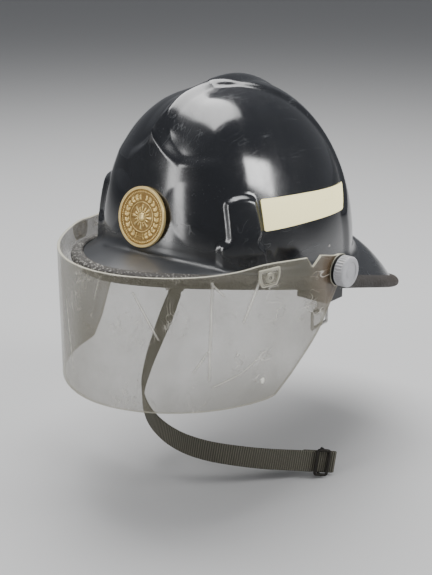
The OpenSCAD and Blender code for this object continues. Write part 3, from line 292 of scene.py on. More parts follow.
def smooth_path(knots, steps):
    """Places on the curve that passes through the knots.

    Each span blends four knots by the cubic whose slope at a knot is half the chord
    between the knots either side of it.
    """
    k = np.asarray(knots, float)
    k = np.concatenate([k[:1], k, k[-1:]])
    u = np.linspace(0, 1, steps, endpoint=False)[None, :, None]
    a, b, c, d = (k[i : len(k) - 3 + i, None, :] for i in range(4))
    curve = 2 * b + (c - a) * u + (2 * a - 5 * b + 4 * c - d) * u**2
    curve = curve + (3 * b - a - 3 * c + d) * u**3
    return np.concatenate([(curve / 2).reshape(-1, k.shape[1]), k[-1:]])


def rounded_bar(width, thickness, corner, across=9, turns=5):
    """Outline of a flat bar: four straight sides joined by quarter circles of one radius."""
    w, t = width / 2 - corner, thickness / 2 - corner
    arc = np.linspace(0, 90, turns)
    corners = []
    for turn, (x, y) in enumerate([(w, t), (-w, t), (-w, -t), (w, -t)]):
        a = arc + 90 * turn
        corners.append(np.stack([x + corner * cos(a), y + corner * sin(a)], -1))
    top = np.stack([np.linspace(w, -w, across)[1:-1], np.full(across - 2, thickness / 2)], -1)
    low = np.stack([np.linspace(-w, w, across)[1:-1], np.full(across - 2, -thickness / 2)], -1)
    return np.concatenate([corners[0], top, corners[1], corners[2], low, corners[3]])


# Making pieces


def signed_volume(points, faces):
    """Six times the volume that triangles fanned from each face's first corner enclose."""
    total = 0.0
    for group in faces:
        p = points[group]
        for k in range(1, group.shape[1] - 1):
            total += np.einsum("ij,ij->", p[:, 0], np.cross(p[:, k], p[:, k + 1]))
    return total


def add_piece(
    name, points, faces, finish, body, slot=None, replaces=(), uv=None, values=None, crease=38
):
    """Makes one closed piece from points in millimetres and arrays of faces.

    Each array holds faces of one corner count. All are turned round where they enclose a
    negative volume, so that they point outwards. values are one number per point each.
    """
    points = np.asarray(points, float).reshape(-1, 3)
    groups = [np.asarray(g) for g in faces]
    if signed_volume(points, groups) < 0:
        groups = [g[:, ::-1] for g in groups]
        if uv is not None:
            uv = uv.reshape(-1, 4, 2)[:, ::-1].reshape(-1, 2)
    mesh = bpy.data.meshes.new(name)
    mesh.from_pydata((points / 1000).tolist(), [], [f for g in groups for f in g.tolist()])
    if uv is not None:
        layer = mesh.uv_layers.new(name="UVMap")
        flat = np.zeros((len(mesh.loops), 2))
        flat[: len(uv)] = uv
        layer.data.foreach_set("uv", flat.ravel())
    for key, value in (values or {}).items():
        mesh.attributes.new(key, "FLOAT", "POINT").data.foreach_set("value", np.ravel(value))
    mesh.shade_smooth()
    mesh.set_sharp_from_angle(angle=math.radians(crease))
    mesh.materials.append(finish)
    piece = bpy.data.objects.new(name, mesh)
    bpy.context.scene.collection.objects.link(piece)
    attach(piece, body)
    if replaces:
        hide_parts(*replaces)
    return piece


def add_run(name, sections, finish, body, closed=False, **more):
    """A tube through equal sections, capped at both ends unless it closes on itself.

    The pattern coordinates are metres along the run and metres round the section, unless
    uv gives others.
    """
    n, m = sections.shape[:2]
    if "uv" not in more:
        along = distances(sections.mean(1)) / 1000
        if closed:
            along = np.append(along, along[-1] + along[1])
        around = distances(np.concatenate([sections[0], sections[0][:1]])) / 1000
        more["uv"] = grid_uv(along[:, None], around[None, :])
    if closed:
        faces = [grid_faces(n, m, wrap_rows=True, wrap_cols=True)]
        return add_piece(name, sections, faces, finish, body, **more)
    first, last = sections[0].mean(0), sections[-1].mean(0)
    return add_dome(name, sections, first, last, finish, body, **more)


def add_dome(name, rows, first, last, finish, body, **more):
    """A closed skin of rings between two poles, with a fan of triangles round each pole."""
    n, m = rows.shape[:2]
    points = np.concatenate([rows.reshape(-1, 3), [first, last]])
    i = np.arange(m)
    j = (i + 1) % m
    end = (n - 1) * m
    caps = [
        np.stack([j, i, np.full(m, n * m)], -1),
        np.stack([end + i, end + j, np.full(m, n * m + 1)], -1),
    ]
    return add_piece(name, points, [grid_faces(n, m, wrap_cols=True)] + caps, finish, body, **more)


def turned(outline, centre, axis, side, steps=96, ripple=None):
    """Rings of a turned form: each outline point is a place along the axis and a radius.

    ripple gives a change of radius from the angle and the place along the axis.
    """
    axis, side = unit(np.asarray(axis, float)), unit(np.asarray(side, float))
    up = np.cross(axis, side)
    a = circle(steps)[None, :]
    h, r = (np.asarray(outline, float)[:, k][:, None] for k in (0, 1))
    if ripple:
        r = r + ripple(a, h, r)
    r, a, h = (v[..., None] for v in np.broadcast_arrays(r, a, h))
    return np.asarray(centre) + h * axis + r * cos(a) * side + r * sin(a) * up


def add_turned(name, outline, centre, axis, side, finish, body, steps=96, ripple=None, **more):
    """A turned piece: a solid where its outline ends on the axis, or else a ring round it."""
    rings = turned(outline, centre, axis, side, steps, ripple)
    if outline[0][1] > 0:
        faces = [grid_faces(len(rings), steps, wrap_rows=True, wrap_cols=True)]
        return add_piece(name, rings, faces, finish, body, **more)
    return add_dome(name, rings[1:-1], rings[0, 0], rings[-1, 0], finish, body, **more)


# Shader sums


class Signal:
    """One socket of a material; sums on it add Math nodes."""

    def __init__(self, finish, socket):
        self.finish, self.socket = finish, socket

    def __add__(self, other):
        return self.finish.math("ADD", self, other)

    def __sub__(self, other):
        return self.finish.math("SUBTRACT", self, other)

    def __mul__(self, other):
        return self.finish.math("MULTIPLY", self, other)

    def __rsub__(self, other):
        return self.finish.math("SUBTRACT", other, self)

    __radd__, __rmul__ = __add__, __mul__

    def capped(self):
        """The signal where it is below 1, and 1 above."""
        return self.finish.math("MINIMUM", self, 1.0)

    def over(self, low, high):
        """0 below low, 1 above high and a smooth rise between them."""
        return self.finish.node(
            "MapRange",
            {"interpolation_type": "SMOOTHSTEP"},
            {"Value": self, "From Min": low, "From Max": high},
        )


class Finish:
    """A material being made."""

    def __init__(self, name):
        self.material = bpy.data.materials.new(name)
        self.material.use_nodes = True
        self.tree = self.material.node_tree
        self.tree.nodes.clear()
        self.place = self.node("TexCoord", take="Object")
        self.uv = self.node("TexCoord", take="UV")

    def node(self, kind, settings=None, sockets=None, take=0):
        """Adds a node of a type, with its settings and then the values or links of its sockets."""
        made = self.tree.nodes.new("ShaderNode" + kind)
        for key, value in (settings or {}).items():
            setattr(made, key, value)
        for key, value in (sockets or {}).items():
            if isinstance(value, Signal):
                self.tree.links.new(value.socket, made.inputs[key])
            else:
                made.inputs[key].default_value = value
        return Signal(self, made.outputs[take])

    def math(self, operation, a, b=0.0):
        return self.node("Math", {"operation": operation}, {0: a, 1: b})

    def mix(self, share, a, b):
        """Colour a where share is 0 and b where it is 1."""
        tones = [v if isinstance(v, Signal) else (*v[:3], 1) for v in (a, b)]
        return self.node(
            "Mix", {"data_type": "RGBA"}, {0: share, 6: tones[0], 7: tones[1]}, take=2
        )

    def noise(self, scale, detail=3, rough=0.5, vector=None, warp=0.0):
        return self.node(
            "TexNoise",
            sockets={
                "Vector": vector or self.place, "Scale": scale, "Detail": detail,
                "Roughness": rough, "Distortion": warp,
            },
        )

    def cells(self, scale, feature="F1"):
        return self.node(
            "TexVoronoi", {"feature": feature}, {"Vector": self.place, "Scale": scale}
        )

    def stretched(self, scale, turn=(0, 0, 0)):
        """Object coordinates turned and scaled by different amounts along the axes."""
        return self.node(
            "Mapping", sockets={"Vector": self.place, "Rotation": turn, "Scale": scale}
        )

    def axis(self, name, source=None):
        return self.node("SeparateXYZ", sockets={"Vector": source or self.place}, take=name)

    def attribute(self, name):
        return self.node("Attribute", {"attribute_name": name}, take="Fac")

    def bump(self, height, strength, reach, base=None):
        sockets = {"Height": height, "Strength": strength, "Distance": reach}
        if base is not None:
            sockets["Normal"] = base
        return self.node("Bump", sockets=sockets)

    def patches(self, scale, low, high):
        """0 and 1 in soft patches, which break up the finer patterns."""
        return self.noise(scale, 2).over(low, high)

    def specks(self, scale, near, far, patches):
        """Round specks, full within near of their middles and gone at far, in patches."""
        return (1 - self.cells(scale).over(near, far)) * self.patches(*patches)

    def scratches(self, scale, turn, cut, patches):
        """Thin lines where a noise, stretched far along one axis, passes its middle value."""
        lines = self.noise(scale, 2, 0.6, self.stretched((1, 0.015, 0.35), turn))
        return (1 - self.math("ABSOLUTE", lines - 0.5).over(0.0, cut)) * self.patches(*patches)

    def close(self, **sockets):
        """Ends the material in one principled shader; an underscore in a name is a space."""
        named = {key.replace("_", " "): value for key, value in sockets.items()}
        for key in ("Base Color", "Emission Color"):
            if key in named and not isinstance(named[key], Signal):
                named[key] = (*named[key][:3], 1)
        shader = self.node("BsdfPrincipled", sockets=named)
        out = self.tree.nodes.new("ShaderNodeOutputMaterial")
        self.tree.links.new(shader.socket, out.inputs["Surface"])
        return self.material


def dark(tone, amount):
    """A colour scaled towards black."""
    return tuple(v * amount for v in tone)


def gloss_black(c):
    """Gloss moulding: uneven black, dust specks, soft smears and hairline scratches."""
    f = Finish("gloss_black_moulding")
    cloud = f.noise(14, 5, 0.6)
    specks = f.specks(380, 0.06, 0.18, (60, 0.45, 0.64))
    fine = (1 - f.cells(900).over(0.06, 0.18)) * f.noise(24, 3).over(0.40, 0.60)
    hair = f.scratches(90, (0.5, 0.9, 0.3), 0.012, (30, 0.5, 0.62))
    cross = f.scratches(120, (1.1, 0.2, 1.4), 0.010, (26, 0.53, 0.66))
    top = f.axis("Z").over(0.07, 0.13)
    rear = f.axis("Y").over(-0.02, 0.11)
    brim = f.attribute("brim") * (1 - rear * 0.75)
    dust = (specks * 0.6 + fine * 0.55 + hair * 0.4 + cross * 0.35).capped()
    film = f.noise(22, 6, 0.65).over(0.42, 0.75) * (top * 0.45 + rear * 0.4 + 0.25)
    film = (film + brim * (0.35 + cloud * 0.5)).capped()
    smudge = f.noise(9, 5, 0.7, warp=0.6).over(0.40, 0.68)
    base = f.mix(film * 0.07 + brim * cloud * 0.16, c.shell, c.shell_dust)
    base = f.mix(dust * (0.30 + top * 0.34 + rear * 0.15), base, c.shell_dust)
    rough = 0.09 + cloud.over(0.35, 0.7) * 0.07 + smudge * 0.10 + film * 0.16
    rough = rough + brim * 0.12 + dust * 0.3
    ripple = f.noise(16, 2, 0.4) + f.noise(170, 2) * 0.03
    bumps = f.bump(ripple, 0.12, 0.004)
    bumps = f.bump(dust, 0.10, 0.0003, bumps)
    return f.close(
        Base_Color=base, Roughness=rough, Normal=bumps, Specular_IOR_Level=0.95,
        Coat_Weight=f.math("MAXIMUM", 0.55 - film * 0.4 - smudge * 0.2, 0.0),
        Coat_Roughness=0.13,
    )


def worn_rubber(c):
    """Pebbled rubber: small cells, rubbed pale on top in front and dirty brown at the rear."""
    f = Finish("pebbled_rubber")
    pebble = f.cells(430) + f.noise(700, 2) * 0.35
    front = 1 - f.axis("Y").over(-0.15, 0.04)
    left = 1 - f.axis("X").over(-0.06, 0.11)
    rub = f.noise(38, 5, 0.65).over(0.34, 0.68)
    worn = front * (0.40 + left * 0.80) * (0.4 + rub * 0.8)
    peaks = (1 - pebble.over(0.36, 0.60)) * 0.92 + 0.08
    brown = f.mix(f.axis("Y").over(0.04, 0.15), c.rubber, (0.042, 0.032, 0.026))
    base = f.mix((worn * peaks).capped(), brown, c.rubber_worn)
    bumps = f.bump(1 - pebble, 0.9, 0.0010)
    return f.close(Base_Color=base, Roughness=0.62 + rub * 0.2, Normal=bumps)


def struck_brass(c):
    """Struck brass: bright where raised, with painted shade in the hollows, a fine grain and a
    faint painted glow.
    """
    f = Finish("struck_brass")
    relief = f.attribute("relief")
    grime = f.noise(240, 4, 0.6)
    # Painted shade: the hollows and the flat field between the raised forms are painted dark
    worn = (relief * 0.9 + grime * 0.35).over(0.02, 0.70)
    base = f.mix(worn, c.brass_dark, c.brass)
    rough = 0.40 - worn * 0.12 + grime * 0.12
    bumps = f.bump(relief, 0.55, 0.0025, f.bump(f.noise(1500, 3, 0.6), 0.25, 0.0004))
    # Painted glow: a faint emission of the metal's own colour brightens it
    return f.close(
        Base_Color=base, Metallic=0.62, Roughness=rough, Normal=bumps,
        Emission_Color=base, Emission_Strength=0.10,
    )


def marking_film(c):
    """Pale film: fine cell mesh, slight soiling, a few rub marks and a painted glow."""
    f = Finish("marking_film")
    soil = f.noise(30, 5, 0.62).over(0.5, 0.8)
    rub = f.scratches(110, (0.3, 1.3, 0.2), 0.012, (50, 0.52, 0.68))
    base = f.mix(soil * 0.22, c.marking, (0.60, 0.58, 0.42))
    base = f.mix(rub * 0.45, base, (0.42, 0.41, 0.32))
    mesh = f.cells(620, "DISTANCE_TO_EDGE").over(0.0, 0.12)
    base = f.mix((1 - mesh) * 0.06, base, (0.5, 0.5, 0.38))
    # Painted glow: emission of the film's own colour makes it brighter than the lamps light it, in
    # place of the light that the film sends back
    return f.close(
        Base_Color=base, Roughness=0.42 + soil * 0.2, Normal=f.bump(mesh, 0.10, 0.0002),
        Coat_Weight=0.12, Emission_Color=base, Emission_Strength=1.0,
    )


def clear_sheet(c):
    """Old clear sheet: thin haze, marks where it is scuffed, brown stains, painted highlights along
    its cut edges and a painted sheen where it is seen at a slant.
    """
    f = Finish("clear_sheet")
    marks = f.attribute("marks")
    rim = f.attribute("rim")
    stain = f.attribute("stain")
    haze = f.noise(16, 5, 0.62).over(0.3, 0.75)
    smear = f.noise(11, 4, 0.6, f.stretched((1, 1, 0.22), (0.2, 0.1, 0.0))).over(0.42, 0.72)
    fine = f.scratches(150, (0.4, 0.5, 0.9), 0.02, (34, 0.48, 0.66))
    grit = f.specks(480, 0.05, 0.13, (50, 0.5, 0.66))
    facing = f.node("LayerWeight", sockets={"Blend": 0.32}, take="Facing")
    # Painted highlight and sheen: rim paints the cut edges pale and more covering, and facing
    # covers more where the sheet is seen at a slant, in place of its reflections
    cover = 0.27 + haze * 0.10 + smear * 0.14 + fine * 0.24 + grit * 0.22
    cover = cover + marks * 0.9 + stain * 0.24 + rim * 0.30 + facing * 0.28
    base = f.mix(stain, c.clear, c.stain)
    base = f.mix(rim, base, c.clear_edge)
    base = f.mix((marks + fine * 0.5 + grit * 0.5).capped(), base, (1.0, 0.98, 0.90))
    return f.close(
        Base_Color=base, Roughness=0.14 + haze * 0.10 + marks * 0.3,
        Alpha=cover.capped(), Specular_IOR_Level=0.9,
        Normal=f.bump(haze + marks, 0.04, 0.001),
    )


def clear_moulding(c):
    """Thick clear plastic of bumpers and washers: patchy dust, and painted highlights along its
    edges and where it is seen at a slant.
    """
    f = Finish("clear_moulding")
    dust = f.noise(160, 4, 0.6).over(0.5, 0.8)
    edge = f.attribute("edge")
    facing = f.node("LayerWeight", sockets={"Blend": 0.35}, take="Facing")
    # Painted highlights: edge and facing paint the plastic pale and covering, in place of the
    # glints of clear plastic; dust adds a little
    base = f.mix((facing * 0.8 + dust * 0.2 + edge).capped(), c.clear, c.clear_edge)
    cover = 0.06 + dust * 0.06 + facing * 0.50 + edge * 0.42
    return f.close(
        Base_Color=base, Roughness=0.16 + dust * 0.2, Alpha=cover.capped(),
        Specular_IOR_Level=0.9, Normal=f.bump(dust, 0.08, 0.0004),
    )


def moulded(name, tone, grain=900, rough=0.5, strength=0.12, worn=0.5):
    """Moulded plastic: fine texture, clouded colour and pale rub marks."""
    f = Finish(name)
    cloud = f.noise(60, 4, 0.6)
    rub = f.scratches(140, (0.6, 0.3, 1.1), 0.02, (70, 0.48, 0.64))
    base = f.mix(cloud.over(0.3, 0.75), dark(tone, 0.82), tone)
    base = f.mix(rub * worn, base, tuple(min(1, v * 1.5 + 0.06) for v in tone))
    grainy = f.noise(grain, 2, 0.5) + f.cells(grain * 0.9) * 0.4
    return f.close(
        Base_Color=base, Roughness=rough + cloud * 0.14, Normal=f.bump(grainy, strength, 0.0004)
    )


def painted_metal(c):
    """Black enamel with chips that show pale metal."""
    f = Finish("painted_metal")
    chips = f.noise(210, 5, 0.7).over(0.66, 0.70)
    cloud = f.noise(40, 3)
    base = f.mix(chips, f.mix(cloud, dark(c.bracket, 0.7), c.bracket), c.steel)
    return f.close(
        Base_Color=base, Metallic=chips * 0.9, Roughness=0.36 + cloud * 0.15 - chips * 0.05,
        Normal=f.bump(cloud + chips * 0.4, 0.08, 0.0006),
    )


def plated_steel(name, tone, rough=0.28, dirt=0.6):
    """Plated metal: brushed lines, dull spots and dirt."""
    f = Finish(name)
    spots = f.noise(330, 4, 0.65).over(0.45, 0.72)
    brush = f.noise(900, 2, 0.5, f.stretched((1, 0.04, 1)))
    base = f.mix(spots * dirt, tone, dark(tone, 0.32))
    return f.close(
        Base_Color=base, Metallic=1 - spots * 0.25, Roughness=rough + spots * 0.25 + brush * 0.08,
        Normal=f.bump(brush, 0.08, 0.0003),
    )


def bead_foam(c):
    """Moulded foam: fused beads with dark seams."""
    f = Finish("bead_foam")
    seams = f.cells(330, "DISTANCE_TO_EDGE").over(0.0, 0.10)
    tone = f.cells(330)
    base = f.mix(seams, dark(c.foam, 0.35), c.foam)
    base = f.mix(tone * 0.4, base, dark(c.foam, 1.35))
    return f.close(Base_Color=base, Roughness=0.82 + tone * 0.1, Normal=f.bump(seams, 0.5, 0.0007))


def ribbed_webbing(name, tone, pitch=2.1):
    """Webbing: cords that cross the strap at one pitch, each broken into short twisted stitches,
    with painted shade between the cords and painted highlights on the stitches.
    """
    f = Finish(name)
    along, across = f.axis("X", f.uv), f.axis("Y", f.uv)
    # Radians per metre of the ribs, and of the stitches, which are 1.1 mm apart and lean
    rib_turn, stitch_turn = 2 * math.pi / (pitch / 1000), 2 * math.pi / 0.0011
    rib = f.math("SINE", along * rib_turn)
    thread = f.math("SINE", across * stitch_turn + along * (rib_turn / 2))
    fuzz = f.noise(1400, 3, 0.6)
    high = rib * 0.5 + 0.5
    # Painted shade and highlights: the valleys between the ribs are painted nearly black, and the
    # stitches' raised halves lighter
    base = f.mix(high.over(0.15, 0.85), dark(tone, 0.12), tone)
    base = f.mix((thread * 0.5 + 0.5) * 0.35, base, dark(tone, 1.5))
    base = f.mix(f.noise(45, 4).over(0.4, 0.75) * 0.35, base, dark(tone, 0.6))
    bumps = f.bump(high + (thread * 0.5 + 0.5) * 0.25 + fuzz * 0.2, 1.0, 0.0008)
    return f.close(Base_Color=base, Roughness=0.78 + fuzz * 0.12, Normal=bumps)


def brow_cloth(c):
    """Soft knitted cloth: small loops in rows, with painted shade between the loops."""
    f = Finish("brow_cloth")
    # Radians per metre: the loops are 1.5 mm apart
    loop_turn = 4200
    along, across = f.axis("X", f.uv) * loop_turn, f.axis("Y", f.uv) * loop_turn
    loops = f.math("SINE", along) * f.math("SINE", across) * 0.5 + 0.5
    fuzz = f.noise(1200, 3, 0.65)
    # Painted shade: darker between the loops, where the bumps sink
    base = f.mix(loops, dark(c.brow, 0.45), c.brow)
    base = f.mix(f.noise(36, 4).over(0.45, 0.75) * 0.4, base, dark(c.brow, 1.7))
    bumps = f.bump(loops + fuzz * 0.4, 0.6, 0.0004)
    return f.close(Base_Color=base, Roughness=0.85 + fuzz * 0.1, Normal=bumps)


def studio_floor(c):
    """Plain pale paper with a barely uneven tone."""
    f = Finish("studio_floor")
    cloud = f.noise(1.5, 3)
    base = f.mix(cloud * 0.10, c.floor, dark(c.floor, 0.93))
    return f.close(Base_Color=base, Roughness=0.75 + cloud * 0.1)


# The shell's form


class ShellForm:
    """The moulded shell's formulas on whole arrays, in millimetres and degrees.

    a is a direction seen from above, 0 to the wearer's left and -90 ahead; t is the turn up
    the dome, 0 at its foot and 90 at the crown; off is a distance inside the outer surface.
    """

    def __init__(self, sizes):
        self.s = in_mm(sizes)

    def oval(self, a, half, front, rear, power_front, power_rear):
        """Reach of a superellipse in direction a: one over the root of the summed powers."""
        s = sin(a)
        long = np.where(s < 0, front, rear)
        p = np.where(s < 0, power_front, power_rear)
        return ((np.abs(cos(a)) / half) ** p + (np.abs(s) / long) ** p) ** (-1 / p)

    def foot_reach(self, a):
        """Reach of the dome's foot, squarer in front than behind."""
        s = self.s
        return self.oval(a, s.half_width, s.front, s.rear, 2.8, 2.3)

    def lip_reach(self, a):
        """Reach of the brim's lip, fuller behind than in front."""
        s = self.s
        return self.oval(a, s.brim_half, s.brim_front, s.brim_rear, 1.85, 2.5)

    def power(self, a):
        """Power of the upright section: 2 at the rear and sides, rising to 2.9 straight ahead."""
        return np.where(sin(a) < 0, 2 + 0.5 * sin(a) ** 2 + 0.4 * sin(a) ** 6, 2.0)

    def dome(self, a, t, off=0.0):
        """Bare dome: reach and height are the same power of cos t and of sin t."""
        s = self.s
        # Near the crown every direction takes the power 2, so the rings close evenly on the pole
        p = 2 + (self.power(a) - 2) * smooth(cos(t) / 0.45)
        r = (self.foot_reach(a) - off) * np.maximum(cos(t), 0) ** (2 / p)
        z = s.base_z + (s.crown - off - s.base_z) * np.maximum(sin(t), 0) ** (2 / p)
        return point(r * cos(a), s.mid_y + r * sin(a), z)

    def turn_at(self, a, z, off=0.0):
        """The turn t at which the bare dome, where its power isn't eased yet, reaches height z."""
        s = self.s
        u = np.clip((z - s.base_z) / (s.crown - off - s.base_z), 0, 1)
        return np.degrees(np.arcsin(u ** (self.power(a) / 2)))

    def normal(self, p):
        """Outward direction of the ellipsoid nearest the dome: place over half axis squared."""
        s = self.s
        long = np.where(p[..., 1] < s.mid_y, s.front, s.rear)
        return unit(point(
            p[..., 0] / s.half_width**2, (p[..., 1] - s.mid_y) / long**2,
            (p[..., 2] - s.base_z) / (s.crown - s.base_z) ** 2,
        ))

    def panel_edge(self, x):
        """Height of the front panel's pointed top: it falls with a power of x, to 28 mm aside."""
        return self.s.panel_top - 2.75 * np.minimum(np.abs(x), 28) ** 0.65

    def with_panel(self, p, off):
        """Pushes the dome forward to the leaning, bowed panel wall below its pointed top."""
        s = self.s
        x, y, z = p[..., 0], p[..., 1], p[..., 2]
        wall = -s.panel_front + s.panel_lean * (z - PANEL_MID_Z) + x * x / (2 * s.panel_radius)
        push = np.maximum(0, y - wall - off)
        soft = 10 + 6 * bell(x / 9)
        lean = np.where(y < s.mid_y, smooth((self.panel_edge(x) + soft - 6 - z) / soft), 0)
        near = smooth((64 - np.abs(x)) / 34)
        return point(x, y - push * lean * near, z)

    def rib(self, p):
        """Crown rib: highest on the middle plane, faded to its sides and ends, wider in front."""
        s = self.s
        half = s.rib_half + 2 + 9 * smooth((-50 - p[..., 1]) / 50)
        across = smooth((half - np.abs(p[..., 0])) / half)
        return s.rib_height * across * self.crown_fade(p) * smooth((s.rib_end - p[..., 1]) / 12)

    def crown_fade(self, p):
        """Raised forms on the front half of the crown start between 88 and 102 mm up."""
        return smooth((p[..., 2] - 88) / 14)

    def rear_panel(self, p):
        """Raised rear panel, which widens out of the rib towards the back and down."""
        x, y, z = np.abs(p[..., 0]), p[..., 1], p[..., 2]
        edge = (
            self.s.rib_half - 4.5 + 0.55 * np.maximum(0, y + 42)
            + 0.93 * np.clip(50 - z, 0, 38) * smooth((y - 5) / 20)
        )
        fade = np.where(y < 0, self.crown_fade(p), 1)
        return self.s.rear_height * smooth((edge - x) / 9) * smooth((y + 112) / 14) * fade

    def boss(self, p):
        """Bottle-shaped side boss with a waist 14 mm up and a wider foot; q runs along the wall."""
        q = (np.abs(p[..., 0]) - 77) * 0.43 + (p[..., 1] + 97) * 0.90
        z, top = p[..., 2], self.s.boss_top
        below = np.maximum(0, top - z)
        ahead = 12.5 + 8 * smooth((18 - z) / 6)
        behind = 17 + 0.14 * below - 5 * bell((z - 14) / 5)
        front_side = 4 + 2 * np.minimum(1, below / top)
        crest = top - 0.02 * (q - 4) ** 2
        return (
            self.s.boss_height * smooth((q + ahead) / front_side) * smooth((behind - q) / 4)
            * smooth((crest - z) / 5)
        )

    def wall(self, a, t, off=0.0, boss=True):
        """The shell's wall: dome and panel, with rib, rear panel and bosses raised on them."""
        p = self.with_panel(self.dome(a, t, off), off)
        rise = self.rib(p) + self.rear_panel(p)
        out = p + self.normal(p) * rise[..., None]
        if boss:
            b = self.boss(p)
            out = out + point(b * 0.90 * np.sign(p[..., 0]), -0.43 * b, 0 * b)
        return out

    def lip(self, a):
        """The brim's lip: an oval that falls with the power 1.44 of its way to the rear."""
        s = self.s
        r = self.lip_reach(a)
        y = s.mid_y + r * sin(a)
        back = np.maximum(0, y - s.mid_y + s.brim_front) / (s.brim_front + s.brim_rear)
        return point(r * cos(a), y, s.lip_z - s.lip_drop * back**1.44)

    def slope(self, a):
        """Fall over run of the brim's upper face, steeper behind."""
        return self.s.brim_slope + self.s.slope_swing * sin(a)

    def near_lip(self, a, e, n):
        """A place e outward along the brim's fall and n up from its face, counted from the lip."""
        k = self.slope(a)
        c = 1 / np.sqrt(1 + k * k)
        d = self.lip(a + 0.5) - self.lip(a - 0.5)
        o = unit(point(d[..., 1], -d[..., 0], 0 * a))
        down, up = point(0 * a, 0 * a, -k * c), point(0 * a, 0 * a, c)
        e, n, c, k = (np.asarray(v)[..., None] for v in (e, n, c, k))
        return self.lip(a) + e * (c * o + down) + n * (k * c * o + up)

    def brim_z(self, a, r):
        """Height of the brim's upper face, carried straight inwards from the lip to reach r."""
        return self.lip(a)[..., 2] + self.slope(a) * (self.lip_reach(a) - r)

    def flat_reach(self, p):
        return np.hypot(p[..., 0], p[..., 1] - self.s.mid_y)

    def first_wall(self, a, off, boss):
        """The wall 8 mm over the height where the brim would meet the dome's foot."""
        z = self.brim_z(a, self.foot_reach(a)) + 8
        return self.wall(a, self.turn_at(a, z, off), off, boss)

    def bowed(self, a, edge, foot, u):
        """Rows of the brim from edge to foot at shares u: straight in front, bowed up behind."""
        u = u[:, None, None]
        run = np.hypot(foot[..., 0] - edge[..., 0], foot[..., 1] - edge[..., 1])
        rise = self.s.brim_bow * run * smooth(sin(a) / 0.5)
        return edge + (foot - edge) * u + 4 * u * (1 - u) * point(0 * a, 0 * a, rise)

    def turns(self, a, start):
        """Rows of turns from start to the crown, close together across the panel's top edge."""
        crest = 80
        # The edge's height depends on x, so it is found in two steps
        for _ in range(2):
            crest = self.panel_edge(self.dome(a, self.turn_at(a, crest))[..., 0])
        stops = [start, self.turn_at(a, crest - 7), self.turn_at(a, crest + 4), 90 + 0 * a]
        rows = [span(stops[i], stops[i + 1], n)[:-1] for i, n in enumerate((46, 14, 60))]
        return np.concatenate(rows)

    def outer(self, a):
        """Rows of the outer surface: bowed brim, a fillet on a three-point curve, and the wall."""
        s = self.s
        w = self.first_wall(a, 0, True)
        room = self.lip_reach(a) - s.trim_depth - 3 - self.flat_reach(w)
        f = np.minimum(8, np.maximum(1.5, room * 0.7))
        start = self.turn_at(a, self.brim_z(a, self.flat_reach(w)) + f)
        w = self.wall(a, start)
        r = self.flat_reach(w)
        aw = np.degrees(np.arctan2(w[..., 1] - s.mid_y, w[..., 0]))
        corner = point(w[..., 0], w[..., 1], self.brim_z(a, r))
        out = point((r + f) * cos(aw), s.mid_y + (r + f) * sin(aw), self.brim_z(a, r + f))
        edge = self.near_lip(a, -s.trim_depth - 2, 0)
        nose = self.near_lip(a, -s.trim_nose, 0)
        brim = self.bowed(a, edge, out, np.linspace(0, 1, 16))
        bend = self.fillet(out, corner, w, 12)
        wall = self.wall(a[None], self.turns(a, start))
        return np.concatenate([span(nose, edge, 3)[:-1], brim[:-1], bend[:-1], wall])

    def fillet(self, start, corner, end, count):
        """Rows on the parabola from start to end that a corner between them pulls aside."""
        u = np.linspace(1, 0, count)[:, None, None]
        return u * u * start + 2 * u * (1 - u) * corner + (1 - u) ** 2 * end

    def inner(self, a):
        """Rows of the inner surface: the brim's underside, a fillet and the wall, no bosses."""
        s = self.s
        w = self.first_wall(a, s.wall, False)
        r = self.flat_reach(w)
        corner = point(w[..., 0], w[..., 1], self.brim_z(a, r) - s.wall * 1.15)
        nose = self.near_lip(a, -s.trim_nose, -s.wall)
        edge = self.near_lip(a, -s.trim_depth - 2, -s.wall)
        start = self.turn_at(a, w[..., 2], s.wall)
        under = self.bowed(a, edge, corner, np.linspace(0, 0.88, 10))
        bend = self.fillet(under[-1], corner, self.wall(a, start, s.wall, False), 7)
        t = span(start, 90 + 0 * a, 32)[:-1]
        wall = self.wall(a[None], t, s.wall, False)
        return np.concatenate([nose[None], under[:-1], bend[:-1], wall])

    def columns(self):
        """Directions round the dome, closer together across the bosses."""
        ahead, boss, behind = (-90, -62, 36), (-62, -30, 84), (-30, 90, 102)
        half = [np.linspace(*part) for part in (ahead, boss, behind)]
        half = np.concatenate([half[0][:-1], half[1][:-1], half[2]])
        return np.concatenate([half, 180 - half[-2:0:-1]])


def form(context):
    return ShellForm(context.scene.helmet_shell)


def fittings(context):
    return in_mm(context.scene.helmet_fittings)


def harness(context):
    return in_mm(context.scene.helmet_harness)


def colours(context):
    return context.scene.helmet_colours


def dress(finish, slot_nodes):
    """Gives carried-over frame nodes a finish."""
    for name in slot_nodes:
        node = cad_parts[name]
        if not node.material_slots:
            node.data.materials.append(finish)
        for slot in node.material_slots:
            slot.link = "OBJECT"
            slot.material = finish


# Pieces


class HELMET_OT_shell(Operator):
    """Moulded shell with its front panel, crown rib, bosses and brim"""

    bl_idname = "helmet.shell"
    bl_label = "Moulded shell"

    def execute(self, context):
        f = form(context)
        a = f.columns()
        outer, inner = f.outer(a), f.inner(a)
        rows = np.concatenate([outer[::-1], inner])
        # The brim and the dome's foot hold more dust than the wall above them
        row = np.arange(len(outer))[::-1]
        brim = np.concatenate([smooth((34 - row) / 8), np.ones(len(inner))])
        crown = np.float64(90)
        top, low = f.wall(crown, crown), f.wall(crown, crown, f.s.wall, False)
        add_dome(
            "shell_moulding", rows, top, low, gloss_black(colours(context)),
            "helmet", slot="shell", replaces=["shell"], crease=50,
            values={"brim": np.append(np.repeat(brim, a.size), [0.0, 1.0])},
        )
        return {"FINISHED"}


